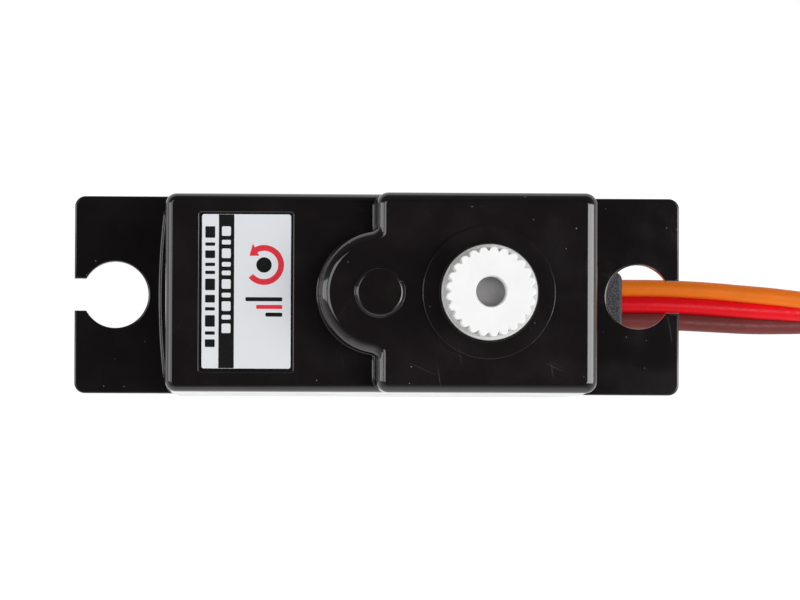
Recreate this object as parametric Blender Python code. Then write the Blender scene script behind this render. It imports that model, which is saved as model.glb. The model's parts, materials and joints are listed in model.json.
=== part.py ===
"""Mini servo motor: a motor, a four-stage gear train and a position sensor in a three-part plastic case.

The output shaft has a 25-tooth spline and turns 90 degrees each way. Two tabs carry the case on screws,
and a three-wire lead ends in a three-way connector.

Blender's units are metres and +Z is up. The origin is the centre of the case's bottom face, the long
side of the case is along X, and the output shaft stands on the +X side. Dimensions below are in
millimetres: meshes are drawn in millimetres and scaled once, when their object is made.
"""

import math

import bmesh
import bpy
from mathutils import Vector

MM = 0.001
FIT = 0.05  # gap between a piece and the seat it sits in
SINK = 0.3  # how far a joined shape reaches into the shape that it joins
PAST = 1.0  # how far a cutting shape reaches past the surface that it opens

# Case: three shells stacked on one footprint, split at two heights.
CASE_LENGTH, CASE_WIDTH = 28.0, 13.2
CASE_CORNER = 0.7
WALL = 1.0
SEAM = 0.05
BOTTOM_SPLIT = 5.0
TOP_SPLIT = 20.6
DECK_LOW, DECK_HIGH = 18.0, 19.2
FLOOR = 1.0
COVER_LENGTH, COVER_WIDTH = 27.9, 12.92
LOW_TOP = 27.15
HUMP_TOP = 29.6
HUMP_LEFT = 0.0
TOP_FILLET = 0.55
CEILING = 1.1
RIM_ROUND = 0.12
BOARD_RIB_X, BOARD_RIB_HALF, BOARD_RIB_REACH = (-9.5, 4.0, 9.8), 0.4, 5.9

# Axes of rotation, all parallel to Z and on the case's middle plane.
MODULE_FINE, MODULE = 0.25, 0.3
PINION_TEETH, FIRST_TEETH = 10, 38
SMALL_TEETH, LARGE_TEETH = 13, 34
MOTOR_TO_IDLER = MODULE_FINE * (PINION_TEETH + FIRST_TEETH) / 2
IDLER_TO_OUTPUT = MODULE * (SMALL_TEETH + LARGE_TEETH) / 2
OUTPUT_X = 7.0
IDLER_X = OUTPUT_X - IDLER_TO_OUTPUT
MOTOR_X = IDLER_X - MOTOR_TO_IDLER

# Gear teeth: stub involutes with running backlash.
PRESSURE_ANGLE = math.radians(25.0)
ADDENDUM, DEDENDUM = 0.8, 1.0
TOOTH_PLAY = 0.05
LEVEL_1 = (19.4, 20.9)
LEVEL_2 = (21.1, 22.6)
LEVEL_3 = (22.8, 24.6)
LEVEL_4 = (24.9, 27.6)
GEAR_1_TOP, GEAR_2_TOP = 22.65, 24.65

# Shafts and bores.
AXLE_RADIUS, AXLE_BORE = 0.75, 0.79
AXLE_LOW, AXLE_HIGH = 18.35, 29.2
SENSOR_SHAFT_RADIUS, SENSOR_SHAFT_BORE = 1.0, 1.05
SENSOR_SHAFT_LOW, SENSOR_SHAFT_HIGH = 12.6, 26.9
SENSOR_FLAT, SENSOR_FLAT_LOW = 0.62, 24.75
MOTOR_SHAFT_RADIUS, MOTOR_SHAFT_BORE = 0.5, 0.53
MOTOR_SHAFT_LOW, MOTOR_SHAFT_HIGH = 3.4, 20.95

# Output end: journal, collar and spline, with the bosses of the cover round them.
JOURNAL_RADIUS = 3.1
COLLAR_TOP = 30.7
SPLINE_TEETH = 25
SPLINE_TIP, SPLINE_ROOT = 2.89, 2.62
SPLINE_TOP = 32.8
HORN_SCREW_RADIUS, HORN_SCREW_LOW = 1.0, 27.4
BUSH_INNER, BUSH_OUTER = 3.17, 3.75
BUSH_LOW, BUSH_HIGH = 27.9, 29.15
RING_BOSS_RADIUS, RING_BOSS_TOP = 4.28, 29.85
LOBE_RADIUS, LOBE_TOP, LOBE_CAVITY = 4.0, 29.45, 3.05
AXLE_BOSS_RADIUS, AXLE_BOSS_TOP = 1.6, 29.8

# Travel stop: a lug on the output gear meets a block under the cover a little past 90 degrees.
LUG_RADII, LUG_TOP, LUG_HALF_ANGLE = (4.0, 4.7), 28.2, 74.0
STOP_RADII, STOP_LOW, STOP_HALF_ANGLE = (4.0, 5.2), 27.75, 15.0

# Mounting tabs.
TAB_LENGTH, TAB_WIDTH = 40.2, 13.1
TAB_LOW, TAB_HIGH = 18.0, 19.8
TAB_HOLE_X, TAB_HOLE_RADIUS, TAB_SLOT_WIDTH = 17.4, 2.2, 2.15
END_PAD_HALF_WIDTH, END_PAD_EDGE, END_PAD_CROWN = 5.5, 0.2, 0.52

# Case screws, driven from below.
SCREW_X, SCREW_Y = 12.3, 4.9
SCREW_SHANK, SCREW_HOLE, SCREW_TIP = 0.75, 0.82, 25.0
SCREW_HEAD, SCREW_HEAD_LOW, SCREW_HEAD_HIGH = 1.25, 0.15, 1.25
COLUMN_RADIUS, HEAD_COLUMN_RADIUS = 1.3, 1.65

# Label in its recess on the low part of the cover.
LABEL_X, LABEL_Y = (-11.58, -5.79), (-4.95, 5.09)
RECESS_X, RECESS_Y, RECESS_DEPTH = (-11.76, -5.65), (-5.19, 5.21), 0.15
LABEL_THICKNESS, LABEL_GLUE = 0.1, 0.02

# Motor.
CAN_RADIUS, CAN_WALL, CAN_LOW, CAN_HIGH = 5.2, 0.4, 4.0, 17.9
CAN_NECK_RADIUS, CAN_NECK_TOP, MOTOR_HOLE_RADIUS = 1.9, 18.6, 2.3
BEARING_RADIUS, BEARING_LOW, BEARING_HIGH = 1.4, 16.9, 18.5
END_CAP_LOW, END_CAP_HIGH = 2.9, 4.6
MAGNET_RADII, MAGNET_LOW, MAGNET_HIGH, MAGNET_HALF_ANGLE = (3.75, 4.72), 6.5, 16.0, 60.0
POLES = 3
CORE_RADIUS, CORE_HUB, CORE_NECK, CORE_SHOE = 3.45, 1.35, 0.65, 2.85
CORE_LOW, CORE_HIGH = 7.6, 14.4
COIL_RADII, COIL_HALF_WIDTH, COIL_END = (1.55, 2.4), 1.25, 0.55
COMMUTATOR_RADIUS, COMMUTATOR_LOW, COMMUTATOR_HIGH = 1.0, 4.9, 6.6
BRUSH_REACH, BRUSH_LOW, BRUSH_HIGH = (1.03, 2.95), 5.3, 6.1
TERMINAL_Y, TERMINAL_LOW, TERMINAL_HIGH = (3.0, 3.4), 1.15, 6.3

# Position sensor, a potentiometer under the output shaft.
SENSOR_RADIUS, SENSOR_WALL, SENSOR_LOW, SENSOR_HIGH = 4.5, 0.45, 12.4, 17.6
TRACK_RADIUS, TRACK_LOW, TRACK_HIGH = 4.0, 12.45, 13.0
WIPER_LOW, WIPER_HIGH, WIPER_REACH, WIPER_HUB_RADIUS = 13.6, 14.1, 3.3, 1.7
SENSOR_BOSS_RADIUS, SENSOR_BOSS_TOP = 1.7, 21.0

# Control electronics.
BOARD_X, BOARD_Y, BOARD_LOW, BOARD_HIGH = 12.7, 5.3, 1.6, 2.2
SOLDER_GAP = 0.05

# Lead: a flat three-wire cable out of a strain relief on the +X end, wound into a coil round its connector.
RELIEF_START, RELIEF_END, RELIEF_HALF_WIDTH = 12.4, 17.8, 2.1
RELIEF_LOW, RELIEF_HIGH = 3.1, 6.3
RELIEF_SLOT_X, RELIEF_FLANGE_X, RELIEF_FLANGE_HALF = (12.2, 15.0), (11.9, 12.9), 2.9
LEAD_WIDTH, WIRE_PITCH = 3.6, 1.2
LEAD_ROUTE = (
    (17.85, 0.0, 4.7), (20.0, 0.0, 4.68), (23.0, -0.12, 4.45), (26.0, -0.33, 4.0), (29.0, -0.5, 3.5),
    (32.0, -0.68, 3.0), (35.0, -1.25, 2.55), (38.0, -3.1, 2.2), (40.0, -4.8, 2.0), (42.2, -6.2, 1.9),
    (44.9, -7.1, 1.9),
)
COIL_CENTRE = (51.5, 11.15)
COIL_RING_RADII, COIL_LOW, COIL_HIGH = (13.1, 17.3), 0.4, 4.0
TAIL_ROUTE = (
    (62.05, 9.1, 1.8), (61.2, 10.55, 1.8), (60.0, 11.8, 1.8), (58.6, 12.7, 1.8), (57.0, 13.3, 1.8),
)
TIE_ANGLE, TIE_WIDTH, TIE_THICKNESS, TIE_PLAY = 60.0, 2.4, 0.3, 0.1
CONNECTOR_LENGTH, CONNECTOR_WIDTH, CONNECTOR_HEIGHT = 14.0, 7.6, 2.6
CONTACT_PITCH, CONTACT_LENGTH = 2.54, 8.0
CAVITY_WIDTH, CAVITY_HEIGHT, SOCKET_SIDE = 1.8, 1.6, 0.9

ROUND = 24
FINE_ROUND = 32
COARSE_ROUND = 12


def clear_scene():
    for obj in list(bpy.data.objects):
        bpy.data.objects.remove(obj)


def principled(name, color, roughness, metallic=0.0):
    """A Principled material of one colour."""
    material = bpy.data.materials.new(name)
    material.use_nodes = True
    shader = material.node_tree.nodes["Principled BSDF"]
    shader.inputs["Base Color"].default_value = (*color, 1.0)
    shader.inputs["Roughness"].default_value = roughness
    shader.inputs["Metallic"].default_value = metallic
    return material


def make_materials():
    return {
        "black_case": principled("black_case", (0.010, 0.009, 0.010), 0.16),
        "steel": principled("steel", (0.56, 0.56, 0.57), 0.28, 1.0),
        "can_steel": principled("can_steel", (0.45, 0.45, 0.46), 0.38, 1.0),
        "white_nylon": principled("white_nylon", (0.80, 0.80, 0.79), 0.42),
        "cream_nylon": principled("cream_nylon", (0.72, 0.70, 0.62), 0.45),
        "bronze": principled("bronze", (0.50, 0.31, 0.14), 0.40, 1.0),
        "brass": principled("brass", (0.68, 0.50, 0.22), 0.33, 1.0),
        "copper": principled("copper", (0.52, 0.19, 0.08), 0.35, 1.0),
        "copper_wire": principled("copper_wire", (0.45, 0.13, 0.05), 0.38, 1.0),
        "ferrite": principled("ferrite", (0.06, 0.06, 0.065), 0.60),
        "carbon": principled("carbon", (0.03, 0.03, 0.03), 0.55),
        "core_steel": principled("core_steel", (0.35, 0.36, 0.38), 0.45, 1.0),
        "moulded_grey": principled("moulded_grey", (0.11, 0.11, 0.12), 0.50),
        "circuit_board": principled("circuit_board", (0.02, 0.16, 0.06), 0.42),
        "chip_black": principled("chip_black", (0.016, 0.016, 0.018), 0.48),
        "capacitor_can": principled("capacitor_can", (0.62, 0.63, 0.65), 0.30, 1.0),
        "resin": principled("resin", (0.35, 0.14, 0.05), 0.50),
        "rubber_grey": principled("rubber_grey", (0.045, 0.048, 0.055), 0.75),
        "label_paper": principled("label_paper", (0.72, 0.74, 0.77), 0.35),
        "lead_orange": principled("lead_orange", (0.80, 0.22, 0.025), 0.45),
        "lead_red": principled("lead_red", (0.78, 0.008, 0.022), 0.42),
        "lead_brown": principled("lead_brown", (0.19, 0.062, 0.066), 0.48),
        "connector_black": principled("connector_black", (0.014, 0.014, 0.015), 0.42),
    }


def axis_empty(name, x):
    """An empty on an axis of rotation, which carries the pieces centred on that axis."""
    empty = bpy.data.objects.new(name, None)
    empty.location = (x * MM, 0.0, 0.0)
    empty.empty_display_size = 5.0 * MM
    bpy.context.scene.collection.objects.link(empty)
    return empty


def link_mesh(name, bm, parent=None):
    """Scale a bmesh from millimetres to metres and link it as an object."""
    bmesh.ops.recalc_face_normals(bm, faces=bm.faces)
    bmesh.ops.scale(bm, vec=(MM, MM, MM), verts=bm.verts)
    mesh = bpy.data.meshes.new(name)
    bm.to_mesh(mesh)
    bm.free()
    obj = bpy.data.objects.new(name, mesh)
    obj.parent = parent
    bpy.context.scene.collection.objects.link(obj)
    return obj


def add_piece(name, bm, material, parent=None):
    """A visible sub-part with its own material, smooth except at its real edges."""
    obj = link_mesh(name, bm, parent)
    own = material.copy()
    own.name = f"{name}_{material.name}"
    obj.data.materials.append(own)
    obj.data.shade_smooth()
    obj.data.set_sharp_from_angle(angle=math.radians(30.0))
    return obj


def combine(obj, operation, label, bm):
    """Boolean a helper shape into an object. The helper stays in the file as a hidden wire object."""
    helper = link_mesh(f"{obj.name}_{label}", bm, obj.parent)
    helper.location = obj.location
    helper.rotation_euler = obj.rotation_euler
    helper.hide_render = True
    helper.display_type = "WIRE"
    modifier = obj.modifiers.new(label, "BOOLEAN")
    modifier.operation = operation
    modifier.solver = "EXACT"
    modifier.object = helper


def join(obj, label, bm):
    combine(obj, "UNION", label, bm)


def cut(obj, label, bm):
    combine(obj, "DIFFERENCE", label, bm)


def rounded_rectangle(x_range, y_range, radius, steps=3):
    (x0, x1), (y0, y1) = x_range, y_range
    corners = ((x1, y1, 0), (x0, y1, 90), (x0, y0, 180), (x1, y0, 270))
    points = []
    for x, y, start in corners:
        centre_x = x - math.copysign(radius, x - (x0 + x1) / 2)
        centre_y = y - math.copysign(radius, y - (y0 + y1) / 2)
        for step in range(steps + 1):
            angle = math.radians(start + 90 * step / steps)
            points.append((centre_x + radius * math.cos(angle), centre_y + radius * math.sin(angle)))
    return points


def circle_outline(radius, at=(0.0, 0.0), steps=ROUND):
    angles = [2 * math.pi * step / steps for step in range(steps)]
    return [(at[0] + radius * math.cos(a), at[1] + radius * math.sin(a)) for a in angles]


def sector_outline(radii, centre_angle, half_angle, steps=12):
    """A piece of a flat ring, between two radii and two angles in degrees."""
    inner, outer = radii
    angles = [math.radians(centre_angle + half_angle * (2 * s / steps - 1)) for s in range(steps + 1)]
    outward = [(outer * math.cos(a), outer * math.sin(a)) for a in angles]
    inward = [(inner * math.cos(a), inner * math.sin(a)) for a in reversed(angles)]
    return outward + inward


def prism(outline, low, high):
    """Extrude a flat outline from one height to another."""
    bm = bmesh.new()
    face = bm.faces.new([bm.verts.new((x, y, low)) for x, y in outline])
    made = bmesh.ops.extrude_face_region(bm, geom=[face])["geom"]
    risen = [item for item in made if isinstance(item, bmesh.types.BMVert)]
    bmesh.ops.translate(bm, vec=(0.0, 0.0, high - low), verts=risen)
    bmesh.ops.recalc_face_normals(bm, faces=bm.faces)
    return bm


def block(x_range, y_range, z_range):
    (x0, x1), (y0, y1) = x_range, y_range
    return prism([(x0, y0), (x1, y0), (x1, y1), (x0, y1)], *z_range)


def cylinder(radius, low, high, at=(0.0, 0.0), steps=ROUND):
    return prism(circle_outline(radius, at, steps), low, high)


def round_edges(bm, height, width, segments=2):
    """Bevel every edge that lies at one height, such as the rim of a cover."""
    rim = [e for e in bm.edges if all(abs(v.co.z - height) < 1e-4 for v in e.verts)]
    bmesh.ops.bevel(bm, geom=rim, offset=width, segments=segments, profile=0.5, affect="EDGES")
    return bm


def turned(profile, steps=ROUND):
    """Spin a profile of (radius, height) points round Z. One that starts and ends on the axis stays open."""
    bm = bmesh.new()
    points = [bm.verts.new((radius, 0.0, height)) for radius, height in profile]
    closed = profile[0][0] > 0.0
    ends = points[1:] + points[:1] if closed else points[1:]
    edges = [bm.edges.new(pair) for pair in zip(points, ends)]
    bmesh.ops.spin(
        bm, geom=points + edges, axis=(0, 0, 1), cent=(0, 0, 0),
        steps=steps, angle=2 * math.pi, use_merge=True,
    )
    bmesh.ops.remove_doubles(bm, verts=bm.verts, dist=1e-5)
    return bm


def ring(inner, outer, low, high, steps=ROUND):
    return turned([(inner, low), (outer, low), (outer, high), (inner, high)], steps)


def involute(angle):
    return math.tan(angle) - angle


def gear_outline(teeth, module, half_pitch_turn=False, flank_points=2):
    """An external gear. A tooth is centred on +X, or a gap if the gear is turned by half a pitch."""
    pitch_radius = module * teeth / 2
    base = pitch_radius * math.cos(PRESSURE_ANGLE)
    tip = pitch_radius + ADDENDUM * module
    root = pitch_radius - DEDENDUM * module
    half_at_pitch = (math.pi * module / 2 - TOOTH_PLAY) / 2 / pitch_radius
    flank_start = max(base, root)
    flank = []
    for step in range(flank_points):
        radius = flank_start + (tip - flank_start) * step / (flank_points - 1)
        half = half_at_pitch + involute(PRESSURE_ANGLE) - involute(math.acos(base / radius))
        flank.append((radius, half))
    if root < base:
        flank.insert(0, (root, flank[0][1]))
    one_tooth = [(r, -half) for r, half in flank] + [(r, half) for r, half in reversed(flank)]
    pitch_angle = 2 * math.pi / teeth
    start = pitch_angle / 2 if half_pitch_turn else 0.0
    points = []
    for tooth in range(teeth):
        centre = start + tooth * pitch_angle
        points += [(r * math.cos(centre + a), r * math.sin(centre + a)) for r, a in one_tooth]
    return points


def spline_outline():
    """The output spline: rounded teeth, three points across each tip and one in each root."""
    points = []
    pitch_angle = 2 * math.pi / SPLINE_TEETH
    shape = ((-0.3, 0.93), (0.0, 1.0), (0.3, 0.93), (0.5, 0.0))
    for tooth in range(SPLINE_TEETH):
        for share, height in shape:
            angle = (tooth + share) * pitch_angle
            radius = SPLINE_ROOT + (SPLINE_TIP - SPLINE_ROOT) * height
            points.append((radius * math.cos(angle), radius * math.sin(angle)))
    return points


def case_outline(length=CASE_LENGTH, width=CASE_WIDTH, corner=CASE_CORNER):
    return rounded_rectangle((-length / 2, length / 2), (-width / 2, width / 2), corner)


def room(inset, low, high, x_low=None):
    """The inside of the case. Each level is inset a little differently, so that no two faces coincide."""
    half_x = CASE_LENGTH / 2 - WALL - inset
    half_y = CASE_WIDTH / 2 - WALL - inset
    left = -half_x if x_low is None else x_low
    return prism(rounded_rectangle((left, half_x), (-half_y, half_y), 0.4, steps=2), low, high)


def post(radius, low, high, at):
    """A coarse cylinder, for the screw columns and the holes in them."""
    return cylinder(radius, low, high, at, COARSE_ROUND)


def screw_places():
    return [(sx * SCREW_X, sy * SCREW_Y) for sx in (-1, 1) for sy in (-1, 1)]


def make_top_cover(material):
    low_block = prism(case_outline(COVER_LENGTH, COVER_WIDTH), TOP_SPLIT + SEAM, LOW_TOP)
    cover = add_piece("top_cover", round_edges(low_block, LOW_TOP, TOP_FILLET), material)
    hump_right, hump_half_width = COVER_LENGTH / 2 + 0.02, COVER_WIDTH / 2 + 0.02
    hump = rounded_rectangle((HUMP_LEFT, hump_right), (-hump_half_width, hump_half_width), 0.78)
    join(cover, "hump", round_edges(prism(hump, 23.0, HUMP_TOP), HUMP_TOP, TOP_FILLET))
    idler, output = (IDLER_X, 0.0), (OUTPUT_X, 0.0)
    lobe = cylinder(LOBE_RADIUS, 23.5, LOBE_TOP, idler, FINE_ROUND)
    join(cover, "lobe", round_edges(lobe, LOBE_TOP, TOP_FILLET))
    axle_boss = cylinder(AXLE_BOSS_RADIUS, 28.8, AXLE_BOSS_TOP, idler)
    join(cover, "axle_boss", round_edges(axle_boss, AXLE_BOSS_TOP, 0.25, 2))
    ring_boss = cylinder(RING_BOSS_RADIUS, 29.0, RING_BOSS_TOP, output, FINE_ROUND)
    join(cover, "ring_boss", round_edges(ring_boss, RING_BOSS_TOP, 0.15, 1))
    cut(cover, "low_room", room(0.05, 19.0, LOW_TOP - CEILING))
    cut(cover, "hump_room", room(0.1, 24.0, HUMP_TOP - CEILING, HUMP_LEFT + WALL))
    lobe_ceiling = LOBE_TOP - CEILING + FIT
    cut(cover, "lobe_room", cylinder(LOBE_CAVITY, 24.2, lobe_ceiling, idler, FINE_ROUND))
    stop = sector_outline(STOP_RADII, 0.0, STOP_HALF_ANGLE, 6)
    stop = [(OUTPUT_X + x, y) for x, y in stop]
    join(cover, "travel_stop", prism(stop, STOP_LOW, HUMP_TOP - CEILING + SINK))
    for number, (x, y) in enumerate(screw_places(), start=1):
        ceiling = (HUMP_TOP if x > 0 else LOW_TOP) - CEILING
        join(cover, f"column_{number}", post(COLUMN_RADIUS, TOP_SPLIT + 0.2, ceiling + SINK, (x, y)))
        cut(cover, f"screw_hole_{number}", post(SCREW_HOLE, TOP_SPLIT - PAST, SCREW_TIP + 0.3, (x, y)))
    cut(cover, "axle_hole", cylinder(AXLE_BORE, 27.0, AXLE_HIGH + 0.1, idler))
    cut(cover, "bush_seat", cylinder(BUSH_OUTER + 0.04, 27.0, BUSH_HIGH + FIT, output, FINE_ROUND))
    cut(cover, "shaft_hole", cylinder(JOURNAL_RADIUS + 0.12, 27.1, RING_BOSS_TOP + PAST, output, FINE_ROUND))
    cut(cover, "label_recess", block(RECESS_X, RECESS_Y, (LOW_TOP - RECESS_DEPTH, LOW_TOP + PAST)))


def end_pad_outline():
    """A thin crowned pad on the -X end wall, above the tab."""
    wall = -CASE_LENGTH / 2
    steps = 10
    points = [(wall + SINK, END_PAD_HALF_WIDTH)]
    for step in range(steps + 1):
        share = 2 * step / steps - 1
        out = END_PAD_EDGE + (END_PAD_CROWN - END_PAD_EDGE) * (1 - share * share)
        points.append((wall - out, -share * END_PAD_HALF_WIDTH))
    return points + [(wall + SINK, -END_PAD_HALF_WIDTH)]


def make_middle_case(material):
    shell = prism(case_outline(), BOTTOM_SPLIT + SEAM, TOP_SPLIT)
    case = add_piece("middle_case", round_edges(shell, TOP_SPLIT, RIM_ROUND, 2), material)
    tabs = prism(case_outline(TAB_LENGTH, TAB_WIDTH), TAB_LOW, TAB_HIGH)
    join(case, "tabs", round_edges(tabs, TAB_HIGH, RIM_ROUND, 1))
    join(case, "end_pad", prism(end_pad_outline(), TAB_HIGH - SINK, TOP_SPLIT - 0.08))
    cut(case, "lower_room", room(0.0, BOTTOM_SPLIT - PAST, DECK_LOW - 0.02))
    cut(case, "upper_room", room(0.05, DECK_HIGH, TOP_SPLIT + PAST))
    for number, (x, y) in enumerate(screw_places(), start=1):
        join(case, f"column_{number}", post(COLUMN_RADIUS, BOTTOM_SPLIT + 0.2, TOP_SPLIT - 0.15, (x, y)))
        cut(case, f"screw_hole_{number}", post(SCREW_HOLE, BOTTOM_SPLIT - PAST, TOP_SPLIT + PAST, (x, y)))
    motor, idler, output = (MOTOR_X, 0.0), (IDLER_X, 0.0), (OUTPUT_X, 0.0)
    below, above = DECK_LOW - PAST, DECK_HIGH + PAST
    join(case, "sensor_boss", cylinder(SENSOR_BOSS_RADIUS, DECK_HIGH - SINK, SENSOR_BOSS_TOP, output))
    cut(case, "sensor_hole", cylinder(SENSOR_SHAFT_RADIUS + 0.08, below, SENSOR_BOSS_TOP + PAST, output))
    cut(case, "motor_hole", cylinder(MOTOR_HOLE_RADIUS, below, above, motor))
    cut(case, "axle_hole", cylinder(AXLE_RADIUS + 0.03, AXLE_LOW - FIT, above, idler))
    half = RELIEF_HALF_WIDTH + FIT
    cut(case, "relief_slot", block(RELIEF_SLOT_X, (-half, half), (BOTTOM_SPLIT - PAST, RELIEF_HIGH + FIT)))
    for side in (-1, 1):
        hole_x, half = side * TAB_HOLE_X, TAB_SLOT_WIDTH / 2
        name = "right" if side > 0 else "left"
        low, high = TAB_LOW - PAST, TAB_HIGH + PAST
        cut(case, f"{name}_tab_hole", cylinder(TAB_HOLE_RADIUS, low, high, (hole_x, 0.0), FINE_ROUND))
        slot_x = sorted((hole_x, side * (TAB_LENGTH / 2 + PAST)))
        cut(case, f"{name}_tab_slot", block(slot_x, (-half, half), (low + 0.1, high - 0.1)))


def make_bottom_cover(material):
    shell = round_edges(prism(case_outline(), 0.0, BOTTOM_SPLIT), 0.0, 0.35, 2)
    cover = add_piece("bottom_cover", shell, material)
    cut(cover, "room", room(0.0, FLOOR, BOTTOM_SPLIT + PAST))
    for number, x in enumerate(BOARD_RIB_X, start=1):
        rib_x = (x - BOARD_RIB_HALF, x + BOARD_RIB_HALF)
        rib = block(rib_x, (-BOARD_RIB_REACH, BOARD_RIB_REACH), (FLOOR - SINK, BOARD_LOW - FIT))
        join(cover, f"board_rib_{number}", rib)
    for number, (x, y) in enumerate(screw_places(), start=1):
        join(cover, f"column_{number}", post(HEAD_COLUMN_RADIUS, 0.4, BOTTOM_SPLIT - 0.1, (x, y)))
        cut(cover, f"screw_hole_{number}", post(SCREW_HOLE, 0.5, BOTTOM_SPLIT + PAST, (x, y)))
        cut(cover, f"head_seat_{number}", post(SCREW_HEAD + 0.08, -PAST, SCREW_HEAD_HIGH + FIT, (x, y)))
    half = RELIEF_HALF_WIDTH + FIT
    cut(cover, "relief_slot", block(RELIEF_SLOT_X, (-half, half), (RELIEF_LOW - FIT, BOTTOM_SPLIT + PAST)))


def make_case_screws(material):
    low, high = SCREW_HEAD_LOW, SCREW_HEAD_HIGH
    profile = [
        (0.0, low), (SCREW_HEAD - 0.2, low), (SCREW_HEAD, low + 0.25), (SCREW_HEAD, high),
        (SCREW_SHANK, high), (SCREW_SHANK, SCREW_TIP - 0.8), (0.25, SCREW_TIP), (0.0, SCREW_TIP),
    ]
    for number, (x, y) in enumerate(screw_places(), start=1):
        screw = add_piece(f"case_screw_{number}", turned(profile, COARSE_ROUND), material)
        screw.location = (x * MM, y * MM, 0.0)
        arm, half, depth = 0.75, 0.13, 0.55
        cut(screw, "driver_slot_a", block((-arm, arm), (-half, half), (low - PAST, low + depth)))
        depth += 0.01
        cut(screw, "driver_slot_b", block((-half, half), (-arm, arm), (low - 0.9 * PAST, low + depth)))


def make_label(material):
    low = LOW_TOP - RECESS_DEPTH + LABEL_GLUE
    outline = rounded_rectangle(LABEL_X, LABEL_Y, 0.15, 2)
    add_piece("label", prism(outline, low, low + LABEL_THICKNESS), material)


def compound_gear(name, large, small, bore, material, parent):
    """A large and a small gear in one moulding. Each is (teeth, module, turned by half a pitch, low, high)."""
    teeth, module, half_turn, low, high = large
    gear = add_piece(name, prism(gear_outline(teeth, module, half_turn), low, high), material, parent)
    teeth, module, half_turn, low, high = small
    join(gear, "small_gear", prism(gear_outline(teeth, module, half_turn, flank_points=3), low, high))
    cut(gear, "bore", cylinder(bore, large[3] - PAST, high + PAST))


def make_gear_train(materials, idler, output):
    steel, nylon = materials["steel"], materials["white_nylon"]
    axle = [(0.0, AXLE_LOW), (AXLE_RADIUS - 0.1, AXLE_LOW), (AXLE_RADIUS, AXLE_LOW + 0.1)]
    axle += [(AXLE_RADIUS, AXLE_HIGH - 0.1), (AXLE_RADIUS - 0.1, AXLE_HIGH), (0.0, AXLE_HIGH)]
    add_piece("idler_axle", turned(axle), steel, idler)
    compound_gear(
        "gear_1",
        (FIRST_TEETH, MODULE_FINE, True, *LEVEL_1),
        (SMALL_TEETH, MODULE, False, LEVEL_1[0] + SINK, GEAR_1_TOP),
        AXLE_BORE, materials["cream_nylon"], idler,
    )
    compound_gear(
        "gear_2",
        (LARGE_TEETH, MODULE, True, *LEVEL_2),
        (SMALL_TEETH, MODULE, False, LEVEL_2[0] + SINK, GEAR_2_TOP),
        SENSOR_SHAFT_BORE, nylon, output,
    )
    compound_gear(
        "gear_3",
        (LARGE_TEETH, MODULE, False, *LEVEL_3),
        (SMALL_TEETH, MODULE, False, LEVEL_3[0] + SINK, LEVEL_4[1]),
        AXLE_BORE, nylon, idler,
    )


def sensor_flat_outline(radius, flat):
    """A round shaft with one flat, facing +X."""
    half = math.acos(flat / radius)
    steps = 20
    angles = [half + (2 * math.pi - 2 * half) * step / steps for step in range(steps + 1)]
    return [(radius * math.cos(a), radius * math.sin(a)) for a in angles]


def make_output(materials, output):
    nylon = materials["white_nylon"]
    teeth = gear_outline(LARGE_TEETH, MODULE, True)
    gear = add_piece("output_gear", prism(teeth, *LEVEL_4), nylon, output)
    lug = sector_outline(LUG_RADII, 180.0, LUG_HALF_ANGLE, 12)
    join(gear, "travel_lug", prism(lug, LEVEL_4[1] - 0.4, LUG_TOP))
    journal = cylinder(JOURNAL_RADIUS, LEVEL_4[1] - 0.5, COLLAR_TOP, steps=FINE_ROUND)
    join(gear, "journal", round_edges(journal, COLLAR_TOP, 0.1, 1))
    join(gear, "spline", prism(spline_outline(), COLLAR_TOP - 0.4, SPLINE_TOP))
    socket = sensor_flat_outline(SENSOR_SHAFT_RADIUS + 0.04, SENSOR_FLAT + 0.04)
    cut(gear, "sensor_socket", prism(socket, 24.0, SENSOR_SHAFT_HIGH + 0.1))
    cut(gear, "horn_screw_hole", cylinder(HORN_SCREW_RADIUS, HORN_SCREW_LOW, SPLINE_TOP + PAST))
    bush = ring(BUSH_INNER, BUSH_OUTER, BUSH_LOW, BUSH_HIGH, FINE_ROUND)
    add_piece("output_bushing", bush, materials["bronze"], output)


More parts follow.
